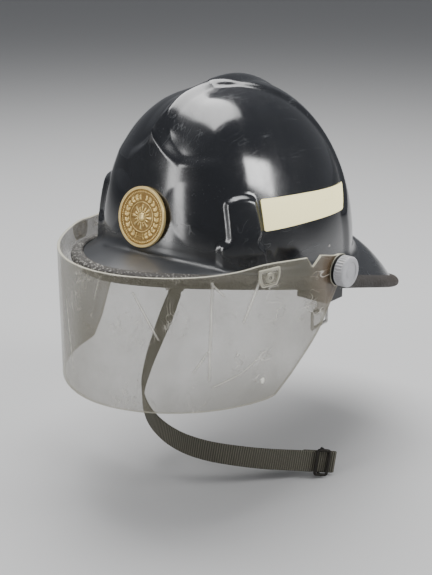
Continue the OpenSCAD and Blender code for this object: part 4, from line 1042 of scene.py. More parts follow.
class HELMET_OT_trim(Operator):
    """Rubber edge round the brim: one rounded bead section carried along the lip"""

    bl_idname = "helmet.trim"
    bl_label = "Rubber edge"

    def execute(self, context):
        f = form(context)
        s = f.s
        d, w = s.trim_depth, s.wall
        # Outline of the bead, then the walls of its channel, as places along the brim and across it
        rise, fall = s.trim_rise, s.trim_fall
        bead = smooth_path([
            (-d, 0.9), (-d + 1.2, rise * 0.72), (-d * 0.55, rise), (-2.2, rise * 0.72),
            (-0.1, rise * 0.15 - 0.6), (-0.1, -w + 0.2), (-2.2, -w - fall * 0.72),
            (-d * 0.55, -w - fall), (-d + 1.2, -w - fall * 0.72), (-d, -w - 0.9),
        ], 5)
        room = 0.3
        mouth, floor = -d + room, -s.trim_nose + room
        channel = [(mouth, -w - room), (floor, -w - room), (floor, room), (mouth, room)]
        outline = np.concatenate([bead, channel])
        a = circle(420)
        sections = f.near_lip(a[:, None], outline[None, :, 0], outline[None, :, 1])
        add_run(
            "rubber_edge", sections, worn_rubber(colours(context)), "helmet",
            closed=True, slot="trim", replaces=["edge_trim"],
        )
        return {"FINISHED"}


class HELMET_OT_medallion(Operator):
    """Struck medallion: beads, a leaf wreath, rays and a domed middle, as a height over a disc"""

    bl_idname = "helmet.medallion"
    bl_label = "Medallion"

    def relief(self, r, a, t):
        """Height over the back of the disc at radius r and angle a, and a tone for the metal.

        A raised rim, a ring of 72 beads, 22 leaves that lean along two branches, 16 rays whose
        height falls outwards, and a cap that is a part of a sphere.
        """
        r, a = np.broadcast_arrays(r, a)
        field = t - 1.5
        rim = 1.5 * smooth((r - 22.6) / 0.7) * smooth((25.4 - r) / 0.5 + 0.6)
        bead_u = np.abs((a / 5) % 1 - 0.5) * 2
        beads = 0.62 * bulge(np.hypot(bead_u * 0.9**0.5, (r - 21.2) / 0.95))
        # swing is 0 at the wreath's open top and 180 at its foot
        swing = np.abs((a + 90) % 360 - 180)
        step = (180 - swing) / 16
        lean = (r - 16.4) / 2.6
        leaf_u = (step - 0.28 * np.abs(lean)) % 1 - 0.5
        leaf = np.clip(1 - (leaf_u / 0.46) ** 2 - (np.abs(lean) - 0.45) ** 2 / 0.42, 0, 1)
        vein = 1 - 0.3 * bell(leaf_u / 0.06)
        ends = smooth((168 - swing) / 6 + 0.5) * smooth((swing - 6) / 4)
        leaves = 0.75 * np.sqrt(leaf) * vein * ends
        stem = 0.35 * np.clip(1 - (lean / 0.10) ** 2, 0, 1) * smooth((swing - 8) / 4)
        ring = 0.45 * bulge((r - 12.4) / 0.55)
        ray = np.abs(cos(8 * a)) ** 1.3
        long = 11.6 - 2.6 * (np.abs(cos(4 * a)) < 0.7071)
        rays = 0.85 * ray * smooth((long - r) / 1.6) * smooth((r - 4.2) / 1.0) * (1.15 - r / 14)
        collar = 0.5 * bulge((r - 4.7) / 0.5)
        cap = 1.05 * bulge(r / 4.1)
        top = np.maximum.reduce([beads, leaves, stem, ring, rays, collar, cap])
        height = field + np.maximum(rim, 1.4 * top * smooth((22.7 - r) / 0.6))
        return height, np.maximum(rim / 1.5, top)

    def execute(self, context):
        s, g = fittings(context), form(context).s
        # The relief is drawn for a disc of 50.8 mm
        size = s.badge_d / 50.8
        a = circle(540)[None, :]
        r = np.concatenate([np.linspace(0.25, 25.0, 128), [25.25, 25.4]])[:, None] * size
        h, tone = self.relief(r, a, s.badge_t)
        # The last row is the rim's rounded corner; side and back follow as radius and height
        h[-1] -= 0.35
        back = np.array([[25.4, 0.4], [25.0, 0.0], [12.0, 0.0]])[:, None, :] + 0 * a[..., None]
        r = np.concatenate([np.broadcast_to(r, h.shape), back[..., 0] * size])[..., None]
        h = np.concatenate([h, back[..., 1]])[..., None]
        dull = 0.4
        tone = np.concatenate([tone, np.full((3, a.size), dull)])
        lean = math.atan(g.panel_lean)
        across, out = np.array([1.0, 0, 0]), np.array([0, -math.cos(lean), math.sin(lean)])
        up = np.array([0, math.sin(lean), math.cos(lean)])
        seat = np.array([0, -g.panel_front - 0.2, s.badge_z])
        a = a[..., None]
        ring = r * cos(a) * across + r * sin(a) * up + h * out + seat
        middle = seat + out * self.relief(0.0, 0.0, s.badge_t)[0]
        add_dome(
            "brass_medallion", ring, middle, seat, struck_brass(colours(context)),
            "helmet", slot="medallion", replaces=["medallion"], crease=75,
            values={"relief": np.append(tone.ravel(), [1.0, dull])},
        )
        return {"FINISHED"}


class HELMET_OT_marking(Operator):
    """Pale marking strips: a thin film that follows the wall between boss and rear panel"""

    bl_idname = "helmet.marking"
    bl_label = "Marking strips"

    def execute(self, context):
        f, s = form(context), fittings(context)
        finish = marking_film(colours(context))
        u = np.linspace(0, 1, 110)[:, None]
        profile = rounded_bar(1.0, 1.0, 0.02, across=22, turns=3)
        # The film is 190 mm long, and its corners are rounded over the last 3 mm of it
        end = np.minimum(u, 1 - u) * 190 / 3
        v = profile[None, :, 0] * (1 - 0.09 * (1 - bulge(1 - np.minimum(end, 1))))
        # Both ends slant: the upper corners lie further round than the lower ones
        angle = -35.6 + u * 73.8 + (10.8 * u - 1.4) * v
        height = 34.5 - 7.5 * u + v * (s.strip_front + (s.strip_rear - s.strip_front) * u)
        p = f.wall(angle, f.turn_at(angle, height), 0.0, False)
        lift = s.strip_lift + s.strip_t * (profile[None, :, 1] + 0.5) + 0 * v
        p = p + f.normal(p) * lift[..., None]
        for side, label in SIDES:
            add_run(
                f"marking_{label}", p * [side, 1, 1], finish, "helmet", slot="marking",
                replaces=[f"marking_strip_{label}"],
            )
        return {"FINISHED"}


def shield_front(s, half, a):
    """The shield's curved front seen from above: a superellipse, 90 degrees in the middle."""
    power = 2 / 1.92
    return half * cos(a) ** power, s.shield_mid - s.shield_bow * sin(a) ** power


class HELMET_OT_shield(Operator):
    """Clear face shield: a bowed sheet with notches, round ears and a slanted rear edge"""

    bl_idname = "helmet.shield"
    bl_label = "Face shield"

    def plan(self, s, half):
        """Half of the sheet's outer face seen from above, from the front middle to the ear.

        A superellipse in front, then straight sides that widen smoothly towards the ears.
        """
        x, y = shield_front(s, half, np.linspace(90, 8, 130))
        ear = s.pivot_y + s.ear_r * sin(np.linspace(0, 90, 26))
        # The columns stand closest across the notch
        rest = np.concatenate([
            np.linspace(s.shield_mid, -60, 14), np.linspace(-59.5, -45, 59),
            np.linspace(-44.5, s.pivot_y - 0.5, 50), ear,
        ])
        x = np.concatenate([x, np.full(rest.shape, half)])
        y = np.concatenate([y, rest])
        return np.stack([x + (s.ear_x - half) * smooth((y + 88) / 48), y], -1)

    def ear(self, y, s):
        """Half height of the round ear, which narrows behind the pivot."""
        return np.sqrt(np.maximum(0, s.ear_r**2 - np.maximum(0, y - s.pivot_y) ** 2))

    def top(self, y, s):
        """Top edge: it climbs, humps over the bumpers, is notched and sinks to the ear."""
        edge = 1.4 * smooth((y + 165) / 60) + 1.8 * bell((y + 101) / 18)
        aside = np.where(y < -54, (-54 - y) / 5.5, (y + 54) / 9)
        sink = (s.pivot_z + s.ear_r - edge) * smooth((y + 50) / (s.pivot_y + 50))
        ahead = edge + sink - 9 * np.maximum(0, 1 - aside)
        return np.where(y > s.pivot_y, s.pivot_z + self.ear(y, s), ahead)

    def bottom(self, y, s):
        """Lower edge: level in front, a rounded corner, a straight slant and the round ear.

        Each corner is half of a sum plus or less the root of its square and a constant.
        """
        climb = 1.33 * (y + 84)
        slant = -s.shield_drop + (climb + np.sqrt(climb**2 + 60)) / 2
        tail = s.pivot_z - self.ear(y, s)
        gap = slant - tail
        return np.minimum(self.top(y, s) - 0.02, tail + (gap - np.sqrt(gap**2 + 4)) / 2)

    def line(self, p, ends, width):
        """1 on a straight mark between two ends, falling to 0 at its width."""
        a, b = np.asarray(ends, float)
        t = np.clip(((p - a) @ (b - a)) / ((b - a) @ (b - a)), 0, 1)
        gap = np.linalg.norm(p - (a + t[..., None] * (b - a)), axis=-1)
        return np.clip(1 - gap / width, 0, 1) * (0.35 + 0.65 * np.sin(np.pi * (0.15 + 0.7 * t)))

    def execute(self, context):
        s, g = fittings(context), form(context).s
        half_plan = self.plan(s, g.brim_half - s.shield_inset)
        plan = np.concatenate([half_plan[:0:-1] * [-1, 1], half_plan])
        along = distances(plan)
        along -= along[-1] / 2
        d = unit(np.gradient(plan, axis=0))
        straight = plan[:, 1] > -40
        d[straight] = np.stack([0 * plan[straight, 0], np.sign(plan[straight, 0])], -1)
        inward = np.stack([-d[:, 1], d[:, 0]], -1)
        top, low = self.top(plan[:, 1], s), self.bottom(plan[:, 1], s)
        # Section: the outer face downwards, a rounded edge, the inner face upwards, a rounded
        # edge, each row as its share of the way down and its depth behind the outer face
        edge_down = np.array([0.0, 0.12, 0.35]) / 114
        edge_deep = np.array([0.55, 0.18, 0.0])

        def face(count):
            flat = np.linspace(0.008, 0.992, count)
            down = np.concatenate([edge_down, flat, 1 - edge_down[::-1]])
            return down, np.concatenate([edge_deep, 0 * flat, edge_deep[::-1]])

        (down, deep), (back_down, back_deep) = face(120), face(16)
        down = np.concatenate([down, back_down[::-1]])[None, :]
        deep = np.concatenate([deep, s.shield_t - back_deep[::-1]])[None, :]
        z = top[:, None] + (low - top)[:, None] * down
        xy = plan[:, None, :] + inward[:, None, :] * deep[..., None]
        sections = np.concatenate([xy, z[..., None]], -1)
        # Marks are placed by their way along the sheet and their height, both in millimetres
        p = np.stack(np.broadcast_arrays(along[:, None], z), -1)
        # Strength, both ends and half width of each scratch
        scratches = (
            (0.8, (39.7, -12.8), (59.7, -51.7), 1.3), (0.5, (10, -3.3), (3.8, -23.7), 1.1),
            (1.0, (103.1, -5.3), (100.1, -88.8), 1.3), (0.8, (100.6, -61.2), (87.3, -80.3), 1.3),
            (0.7, (101.8, -5.2), (113, -17.6), 1.2), (1.0, (145.2, -8.3), (130.2, -41.5), 1.9),
            (0.6, (150.7, -71.5), (127.6, -86.4), 1.6), (0.6, (129, -85.6), (102.7, -94.5), 1.6),
            (0.5, (-40, -30), (-30, -96), 1.4), (0.5, (-96, -24), (-70, -58), 1.2),
        )
        # Middle, half width and half height of each paint spot, and how far it keeps full strength
        spots = ((149, -96.6, 1.8, 2.6, 1.6), (124.6, -68.7, 0.9, 0.9, 1.4))
        marks = [k * self.line(p, (start, end), width) for k, start, end, width in scratches]
        marks += [
            np.clip(full - np.hypot((p[..., 0] - x) / w, (p[..., 1] - y) / h), 0, 1)
            for x, y, w, h, full in spots
        ]
        marks = np.maximum.reduce(marks) * np.where(deep < 0.3, 1, 0.1)
        # Painted highlight: rim is 1 on the cut edges and fades within 1.1 mm of them
        gap = np.minimum(z - low[:, None], top[:, None] - z)
        rim = np.clip(1 - gap / 1.1, 0, 1) ** 1.5
        pivot = np.hypot(plan[:, None, 1] - s.pivot_y, z - s.pivot_z)
        stain = 0.7 * smooth((46 - pivot) / 30) + 0.45 * smooth((-plan[:, None, 0] - 92) / 20)
        values = {"marks": marks, "rim": rim, "stain": np.clip(stain, 0, 1) + 0 * z}
        # The two caps' middles carry none of them
        values = {key: np.append(value, [0.0, 0.0]) for key, value in values.items()}
        add_run(
            "clear_shield", sections, clear_sheet(colours(context)), "shield",
            slot="clear", replaces=["face_shield"], values=values, crease=40,
        )
        return {"FINISHED"}


class HELMET_OT_bumpers(Operator):
    """Clear bumpers near the shield's top edge: a six-sided frame, thin floor and round button"""

    bl_idname = "helmet.bumpers"
    bl_label = "Shield bumpers"

    def execute(self, context):
        s, g = fittings(context), form(context).s
        half = g.brim_half - s.shield_inset
        finish = clear_moulding(colours(context))
        # The bumper's middle is 98 mm ahead of the origin and 7.6 mm below its level
        a = np.degrees(np.arcsin(((s.shield_mid + 98) / s.shield_bow) ** 0.96))
        before, middle, after = (np.array(shield_front(s, half, a + step)) for step in (1, 0, -1))
        along = np.array([*unit(after - before), 0.0])
        out = np.array([along[1], -along[0], 0.0])
        seat = np.array([*middle, -7.6])
        turn = circle(180)[None, :]
        # The outline's sides, as the directions that they face and their distances out
        sides = [(0, 11), (180, 11), (90, 7.5), (-90, 7.5), (-26.6, 10.06), (-153.4, 10.06)]
        # Six-sided rows: how far they lie inside the outline, and their lift over the sheet
        rows = [(0, 0.2), (0, 1.75), (0.15, 2.05), (0.5, 2.2), (2.0, 2.2), (2.4, 2.0), (2.6, 1.2)]
        inset, frame_lift = np.split(np.array(rows), 2, axis=1)
        # One over the root of the summed powers, high enough for nearly straight sides
        power = 22
        terms = [(np.maximum(0, cos(turn - way)) / (far - inset)) ** power for way, far in sides]
        reach = sum(terms) ** (-1 / power)
        # Round rows of the button: radius and lift
        button = np.array([(4.4, 1.2), (4.1, 2.3), (3.7, 2.8), (1.7, 2.8), (1.4, 2.2)])
        r = np.concatenate([reach, button[:, :1] + 0 * turn])
        lift = np.concatenate([frame_lift, button[:, 1:]])
        x, z, lift = (v[..., None] for v in (r * cos(turn), r * sin(turn), lift + 0 * r))
        p = seat + x * along + z * np.array([0, 0, 1.0]) + lift * out
        # Painted highlights: the moulding is painted palest along its rounded edges, where clear
        # plastic glints
        pale = np.repeat([0.3, 0.8, 1, 0.8, 0.5, 0.8, 0.1, 0.3, 1, 0.6, 0.7, 0.1], turn.size)
        for side, label in SIDES:
            flip = [side, 1, 1]
            ends = [(seat + out * depth) * flip for depth in (0.2, 2.2)]
            add_dome(
                f"bumper_{label}", p * flip, *ends, finish, "shield", slot="clear",
                replaces=[f"shield_bumper_{label}"], crease=30,
                values={"edge": np.append(pale, [0.0, 0.1])},
            )
        return {"FINISHED"}


class HELMET_OT_pivots(Operator):
    """Clear washers, black gaskets and grey fluted knobs at both pivots"""

    bl_idname = "helmet.pivots"
    bl_label = "Pivot stacks"

    def execute(self, context):
        s, c = fittings(context), colours(context)
        clear = clear_moulding(c)
        black = moulded("black_gasket", c.gasket, 700, 0.75, 0.2, 0.05)
        grey = moulded("grey_knob", c.knob, 1300, 0.46, 0.16, 0.25)
        washer_x = s.ear_x + 0.2
        gasket_x = washer_x + s.washer_t + 0.05
        knob_x = gasket_x + s.gasket_t + 0.1
        r, h = s.knob_d / 2, s.knob_h
        bore, hole = s.stud_d / 2 + 0.05, s.stud_d / 2 + 0.2

        def ring(outer, x, t):
            """Outline of a flat ring with its outer corners cut by a quarter millimetre."""
            cut = 0.25
            return [(x, hole), (x, outer - cut), (x + cut, outer), (x + t - cut, outer),
                    (x + t, outer - cut), (x + t, hole)]

        def flutes(a, x, radius):
            """Thirty half-round grooves that fade out at both ends of the knob's side."""
            cut = np.clip(np.abs(cos(15 * a)) - 0.35, 0, 1) / 0.65
            side = smooth((radius - r + 0.6) / 0.3) * smooth((x - knob_x - 0.7) / 0.8)
            return -0.75 * np.sqrt(cut) * side * smooth((knob_x + h - 1.3 - x) / 0.9)

        # The knob's outline, as places out from its seat and radii: bore, side, rounded rim,
        # a shallow dish with a ring in it, and a flat middle
        knob = [(h - 1.6, 0), (h - 1.6, bore), (0, bore), (0, r - 0.9), (0.15, r - 0.3)]
        knob += [(x, r) for x in np.linspace(0.5, h - 1.2, 18)]
        knob += [(h - 0.55, r - 0.35), (h - 0.12, r - 0.95), (h, r - 1.8), (h, 9.4), (h - 0.1, 8.9)]
        knob += [(h - 0.6, 8.5), (h - 0.7, 8.1), (h - 0.7, 5.6), (h - 0.6, 5.2), (h - 0.4, 4.8)]
        knob += [(h - 0.3, 4.2), (h - 0.3, 0)]
        knob = [(knob_x + x, radius) for x, radius in knob]
        for side, label in SIDES:
            place = ((0, s.pivot_y, s.pivot_z), (side, 0, 0), (0, 0, 1))
            # The washer's outer corners carry painted highlights in its edge values
            add_turned(
                f"washer_{label}", ring(s.washer_d / 2, washer_x, s.washer_t), *place, clear,
                "helmet", slot="clear", replaces=[f"pivot_washer_{label}"],
                values={"edge": np.repeat([0.1, 0.8, 1, 1, 0.8, 0.1], 96)},
            )
            add_turned(
                f"gasket_{label}", ring(s.gasket_d / 2, gasket_x, s.gasket_t), *place, black,
                "helmet", slot="gasket", replaces=[f"pivot_gasket_{label}"],
            )
            add_turned(
                f"finger_knob_{label}", knob, *place, grey, f"knob_{label}", steps=480,
                ripple=flutes, slot="knob", replaces=[f"knob_{label}"],
            )
        return {"FINISHED"}


class HELMET_OT_liner(Operator):
    """Foam cap inside the shell"""

    bl_idname = "helmet.liner"
    bl_label = "Foam cap"

    def execute(self, context):
        f, s = form(context), harness(context)
        a = circle(240)
        near, far = f.s.wall + s.liner_gap, f.s.wall + s.liner_gap + s.liner_t

        def rows(off, count):
            return f.dome(a[None], span(f.turn_at(a, s.liner_z, off), 90 + 0 * a, count)[:-1], off)

        outer, inner = rows(near, 40), rows(far, 40)
        # The lower edge is a flat ring of its own rows
        foot = span(outer[0], inner[0], 6)[1:-1]
        crown = np.float64(90)
        add_dome(
            "foam_cap", np.concatenate([outer[::-1], foot, inner]),
            f.dome(crown, crown, near), f.dome(crown, crown, far),
            bead_foam(colours(context)), "helmet", slot="foam",
            replaces=["impact_liner"],
        )
        return {"FINISHED"}


# Nape strap's width and thickness, and its gap outside the headband
NAPE_W, NAPE_T, NAPE_GAP = 18, 1.5, 0.3


def on_band(s, a, off, z):
    """A place at height z on the headband's ellipse, grown by off."""
    return point((s.band_half + off) * cos(a), s.band_y + (s.band_long + off) * sin(a), z)


def band_reach(s, a, off, mid_y):
    """Distance from the dome's axis to the headband's ellipse, as a quadratic's positive root."""
    long, half, d = s.band_long + off, s.band_half + off, mid_y - s.band_y
    p = (cos(a) / half) ** 2 + (sin(a) / long) ** 2
    q = 2 * d * sin(a) / long**2
    return (-q + np.sqrt(q * q - 4 * p * ((d / long) ** 2 - 1))) / (2 * p)


class HELMET_OT_headband(Operator):
    """Headband, nape strap and brow pad round one ellipse"""

    bl_idname = "helmet.headband"
    bl_label = "Headband"

    def execute(self, context):
        s, c = harness(context), colours(context)
        plastic = moulded("black_cradle", c.cradle, 800, 0.42, 0.15, 0.5)
        # Headband: a flat bar with a raised bead along both edges
        bar = rounded_bar(s.band_h, s.band_t, 0.5, across=26)
        bead = 0.35 * bell((np.abs(bar[:, 0]) - s.band_h / 2 + 1.6) / 0.9) * (bar[:, 1] > 0)
        a = circle(240)[:, None]
        mid_z = s.band_z + s.band_h / 2
        add_run(
            "head_band", on_band(s, a, s.band_t / 2 + bar[:, 1] + bead, mid_z + bar[:, 0]),
            plastic, "helmet", closed=True, slot="cradle", replaces=["headband"],
        )
        # Nape strap: a narrower bar that drops smoothly towards the back
        a = np.linspace(12, 168, 150)[:, None]
        side_z = s.band_z + 10
        nape_z = side_z + (s.nape_z - side_z) * smooth((sin(a) - 0.2) / 0.7)
        bar = rounded_bar(NAPE_W, NAPE_T, 0.5, across=20)
        off = s.band_t + NAPE_GAP + NAPE_T / 2 + bar[:, 1]
        add_run(
            "nape_band", on_band(s, a, off, nape_z + bar[:, 0]), plastic, "helmet",
            slot="cradle", replaces=["nape_strap"],
        )
        # Brow pad: fullest along its middle, pulled in at twelve sewn channels and at both ends
        a = np.linspace(-150, -30, 260)[:, None]
        w = circle(56)[None, :]
        along = (a + 150) / 120
        near_end = np.clip(np.minimum(along, 1 - along) * 26, 0, 1)
        end = np.sqrt(np.clip(1 - (1 - near_end) ** 2, 0.02, 1))
        sewn = bell(((along * 12) % 1 - 0.5) / 0.09) * (np.abs(along - 0.5) < 0.46)
        across, deep = bent(cos(w), 2 / 3.2), bent(sin(w), 2 / 2.4)
        seam = 0.06 * bell((w - 180) / 12)
        height = (s.band_h + 5) / 2 * (1 - 0.10 * (1 - end)) * (1 - seam)
        thick = s.brow_t / 2 * np.where(deep < 0, 1 - 0.42 * sewn, 1) * end
        off = -0.7 - s.brow_t / 2 + thick * deep
        piece = add_run(
            "brow_cushion", on_band(s, a, off, mid_z + height * across), brow_cloth(c), "helmet",
            slot="foam", replaces=["brow_pad"], crease=60,
        )
        dress(plastic, ["hanger_clips"])
        return {"FINISHED"}


class HELMET_OT_cradle(Operator):
    """Crossed crown straps: flat webbing along two upright arches"""

    bl_idname = "helmet.cradle"
    bl_label = "Crown straps"

    def execute(self, context):
        s, mid_y = harness(context), form(context).s.mid_y
        tone = dark(colours(context).webbing, 0.8)
        finish = ribbed_webbing("cradle_webbing", tone, pitch=1.6)
        bar = rounded_bar(s.cradle_w, s.cradle_t, 0.45, across=16)
        # The straps end in the clips, 10.3 mm below the headband's upper edge, and rise in
        # superelliptic arches from 6 to 84 mm up; the upper one clears the lower by 0.8 mm
        base, foot, peak, power = s.band_z + s.band_h - 10.3, 6, 84, 2 / 2.2
        u = np.linspace(0, 180, 90)
        for name, turn, lift in (("lower", -50, 0.0), ("upper", 230, s.cradle_t + 0.8)):
            front = band_reach(s, turn, s.band_t, mid_y) + 3
            rear = band_reach(s, turn + 180, s.band_t, mid_y) - 4
            reach = np.where(cos(u) > 0, front, rear) * bent(cos(u), power)
            z = foot + (peak + lift - foot) * np.abs(sin(u)) ** power
            ends = [(-rear - 8, 0.5), (-rear - 11, base)]
            path = np.concatenate([[(front + 4, base)], np.stack([reach, z], -1), ends])
            d = unit(np.gradient(path, axis=0))
            normal = np.stack([d[:, 1], -d[:, 0]], -1)
            flat = path[:, None] + normal[:, None] * (bar[:, 1:] - s.cradle_t / 2)[None]
            across = bar[:, 0]
            x = flat[..., 0] * cos(turn) - across * sin(turn)
            y = mid_y + flat[..., 0] * sin(turn) + across * cos(turn)
            add_run(
                f"crown_strap_{name}_webbing", point(x, y, flat[..., 1]), finish, "helmet",
                slot="webbing", replaces=[f"crown_strap_{name}"],
            )
        return {"FINISHED"}


class HELMET_OT_chin_strap(Operator):
    """Olive chin strap: flat ribbed webbing from the right ring, round below, to its folded end"""

    bl_idname = "helmet.chin_strap"
    bl_label = "Chin strap"

    def route(self, context):
        """Middle line of the webbing, with the directions that it faces and runs in."""
        f, s = form(context), harness(context)
        a = np.float64(15.0)
        wall = f.first_wall(a, f.s.wall, False)
        tangent = f.first_wall(a + 1, f.s.wall, False) - f.first_wall(a - 1, f.s.wall, False)
        turn = np.degrees(np.arctan2(-tangent[0], tangent[1]))
        out = np.array([-cos(turn), sin(turn), 0.0])
        # The right ring's lower bar: below the wall's foot, and inside it by plate and knuckle
        knuckle_z, ring_h, plate_t, knuckle_r, ring_wire = -52.2, 15, 1.6, 3.2, 3
        bar = np.array([-wall[0], wall[1], wall[2] + knuckle_z - ring_h])
        bar = bar - (plate_t + knuckle_r) * out
        loop_r = ring_wire / 2 + 0.3 + s.strap_t / 2
        up = np.array([0, 0, 1.0])
        sag = [
            (-84, -7, -107), (-81, -25, -127), (-75, -46, -147), (-63, -68, -164), (-44, -83, -175),
            (-20, -92, -182), (6, -94, -187), (31, -87, -191), (53, -72, -195),
        ]
        start, end = np.array([72.0, -52, -200]), np.array([111.0, 1, -212])
        run = unit(end - start)
        last = start + (end - start) / 2
        drop = 8 * up
        hung = bar + loop_r * out
        knots = [hung, hung - drop, *np.array(sag, float), start, last]
        # The path's first span is the loop's straight side, which the loop's own rows replace
        steps = 16
        body = smooth_path(knots, steps)[steps:-1]
        body_d = unit(np.gradient(body, axis=0))

        def facing(p, d):
            """Away from the upright line 20 mm ahead of the origin, square to the webbing's run."""
            r = unit(np.stack([p[..., 0], p[..., 1] + 20, 0 * p[..., 0]], -1))
            return unit(r - np.sum(r * d, -1, keepdims=True) * d)

        body_o = facing(body, body_d)
        blend = smooth(np.linspace(0, 1, 30))[:, None]
        body_o[:30] = unit(out * (1 - blend) + body_o[:30] * blend)
        end_out = facing(last, run)
        u = np.linspace(180, 0, 22)[:, None]
        loop_o = out * cos(u) + up * sin(u)
        loop_p = bar + loop_o * loop_r
        # The loop's sewn end lies against the back of the strap
        inner = bar + (loop_r - s.strap_t - 0.1) * out - drop
        w = np.linspace(0, 180, 16)[:, None]
        fold_r, tail_long = 1.3, 30
        fold_o = end_out * cos(w) + run * sin(w)
        fold_p = end - end_out * fold_r + fold_o * fold_r
        # Each stretch: its places, the way that it faces and the way that it runs
        stretches = (
            (span(inner, loop_p[0], 8)[:-1], -out, up),
            (loop_p, loop_o, out * sin(u) - up * cos(u)),
            (body, body_o, body_d),
            (span(last, end, 26)[1:-1], end_out, run),
            (fold_p, fold_o, run * cos(w) - end_out * sin(w)),
            (span(fold_p[-1], fold_p[-1] - run * tail_long, 20)[1:], -end_out, -run),
        )
        p, o, d = (
            np.concatenate([np.broadcast_to(part[i], part[0].shape) for part in stretches])
            for i in range(3)
        )
        return SimpleNamespace(p=p, o=o, d=d, end=end, run=run, out=end_out)

    def execute(self, context):
        s, c = harness(context), colours(context)
        r = self.route(context)
        bar = rounded_bar(s.strap_w, s.strap_t, 0.6, across=14)
        side = np.cross(r.o, r.d)
        sections = r.p[:, None] + side[:, None] * bar[:, :1] + r.o[:, None] * bar[:, 1:]
        # The ribs follow the webbing's own length and width
        along = distances(r.p)[:, None] / 1000
        across = np.append(bar[:, 0], bar[0, 0])[None, :] / 1000
        add_run(
            "chin_webbing", sections, ribbed_webbing("olive_webbing", c.webbing), "helmet",
            slot="webbing", replaces=["chin_strap"], uv=grid_uv(along, across),
        )
        # Slide: a rounded frame over the webbing and a third bar under the tail
        g = s.slide_wire
        w, over = s.strap_w / 2 + 0.4, s.strap_t / 2 + 0.3
        side_x, under = w + g / 2, 2.6 + over
        seat = r.end - r.run * 12
        y = np.cross(r.out, r.run)
        wire = rounded_bar(g, g, g * 0.42, across=3)
        finish = plated_steel("dark_slide", c.slide, 0.34, 0.4)

        def thickened(path, tangent, size):
            """The wire's section along a flat path: places in the path's plane."""
            outward = np.stack([tangent[:, 1], -tangent[:, 0]], -1)
            return path[:, None] + outward[:, None] * wire[None, :, :1] * size

        # The frame is a rounded rectangle: a superellipse of power 9, its half length 6 mm
        a = circle(96)
        reach = ((np.abs(cos(a)) / 6) ** 9 + (np.abs(sin(a)) / side_x) ** 9) ** (-1 / 9)
        path = np.stack([reach * cos(a), reach * sin(a)], -1)
        local = thickened(path, unit(np.roll(path, -1, 0) - np.roll(path, 1, 0)), 1)
        lift = (over + g / 2 + wire[:, 1:]) * r.out
        ring = seat + local[..., :1] * r.run + local[..., 1:] * y + lift
        add_run(
            "slide_frame", ring, finish, "slide", closed=True, slot="steel",
            replaces=["strap_slide"],
        )
        # The third bar is a staple: down one side, under the tail and up the other
        half = [
            (side_x, over + g), (side_x, -under + g * 0.4), (w - 0.6, -under - g / 2),
            (0, -under - g / 2),
        ]
        path = smooth_path(half + [(-x, z) for x, z in half[-2::-1]], 10)
        size = 0.9
        local = thickened(path, unit(np.gradient(path, axis=0)), size)
        staple = seat + local[..., :1] * y + local[..., 1:] * r.out + wire[:, 1:] * size * r.run
        add_run("slide_staple", staple, finish, "slide", slot="steel")
        return {"FINISHED"}


class HELMET_OT_ratchet(Operator):
    """Ratchet case and its lobed knob at the nape"""

    bl_idname = "helmet.ratchet"
    bl_label = "Ratchet"

    def execute(self, context):
        s, c = harness(context), colours(context)
        plastic = moulded("ratchet_case", c.cradle, 650, 0.48, 0.2, 0.5)
        near = s.band_t + NAPE_GAP + NAPE_T + 0.3
        half = np.degrees(np.arcsin(s.ratchet_w / 2 / (s.band_half + near)))
        # Case: an arc of the band whose outer face is crowned and whose corners are rounded
        a = np.linspace(90 - half, 90 + half, 90)[:, None]
        w = circle(64)[None, :]
        end = np.clip(1 - np.abs((a - 90) / half) ** 14, 0, 1) ** (1 / 3)
        z = bent(cos(w), 0.28) * s.ratchet_h / 2 * (0.86 + 0.14 * end)
        u = (bent(sin(w), 0.28) + 1) / 2
        off = near + s.ratchet_depth * u * (0.82 + 0.18 * end)
        add_run(
            "ratchet_case", on_band(s, a, off, s.nape_z + z), plastic, "helmet", slot="cradle",
            replaces=["ratchet_housing"],
        )
        # The knob turns on a round plinth that stands 1.5 mm out of the case
        seat = s.band_y + s.band_long + near + s.ratchet_depth + 1.5
        place = ((0, seat, s.nape_z), (0, 1, 0), (1, 0, 0))
        bore, plinth_r, sunk = 4.1, 12, -6
        plinth = [(sunk, bore), (sunk, plinth_r), (-0.5, plinth_r), (0, plinth_r - 0.5), (0, bore)]
        add_turned("ratchet_plinth", plinth, *place, plastic, "helmet", slot="cradle")

        def lobes(a, x, radius):
            """Sixteen finger grooves that deepen towards the knob's outer edge."""
            cut = np.clip(np.abs(cos(8 * a)) - 0.55, 0, 1) / 0.45
            return -1.5 * np.sqrt(cut) * smooth((radius - 11) / 1.5) * smooth((x - 1.5) / 2)

        # The knob's outline, as places out from the plinth and radii: shaft, side and dish
        h, r = 10.0, 13.5
        rows = [(sunk, 0), (sunk, 3.9), (0.2, 3.95), (0.2, r - 0.6), (0.7, r)]
        rows += [(x, r) for x in np.linspace(1.2, h - 1, 14)]
        rows += [(h - 0.1, r - 0.4), (h + 0.2, r - 1.2), (h + 0.2, 8.2), (h - 0.8, 7.6)]
        rows += [(h - 0.8, 3), (h - 0.5, 2.6), (h - 0.5, 0)]
        add_turned(
            "ratchet_dial", rows, *place, moulded("ratchet_dial", c.cradle, 900, 0.4, 0.15, 0.6),
            "ratchet_knob", steps=384, ripple=lobes, slot="cradle", replaces=["ratchet_knob"],
        )
        return {"FINISHED"}


class HELMET_OT_metal(Operator):
    """Finishes of the brackets, studs, screws, rivets, anchors and rings"""

    bl_idname = "helmet.metal"
    bl_label = "Metal parts"

    def execute(self, context):
        c = colours(context)
        dress(painted_metal(c), ["pivot_bracket_left", "pivot_bracket_right"])
        bright = plated_steel("plated_steel", c.steel)
        stems = ("pivot_stud", "strap_anchor", "strap_ring")
        dress(bright, [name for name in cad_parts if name.startswith(stems)])
        dress(plated_steel("screw_steel", c.steel, 0.34, 0.8), [
            "bracket_screws", "anchor_rivets", "headband_studs", "medallion_posts",
        ])
        return {"FINISHED"}


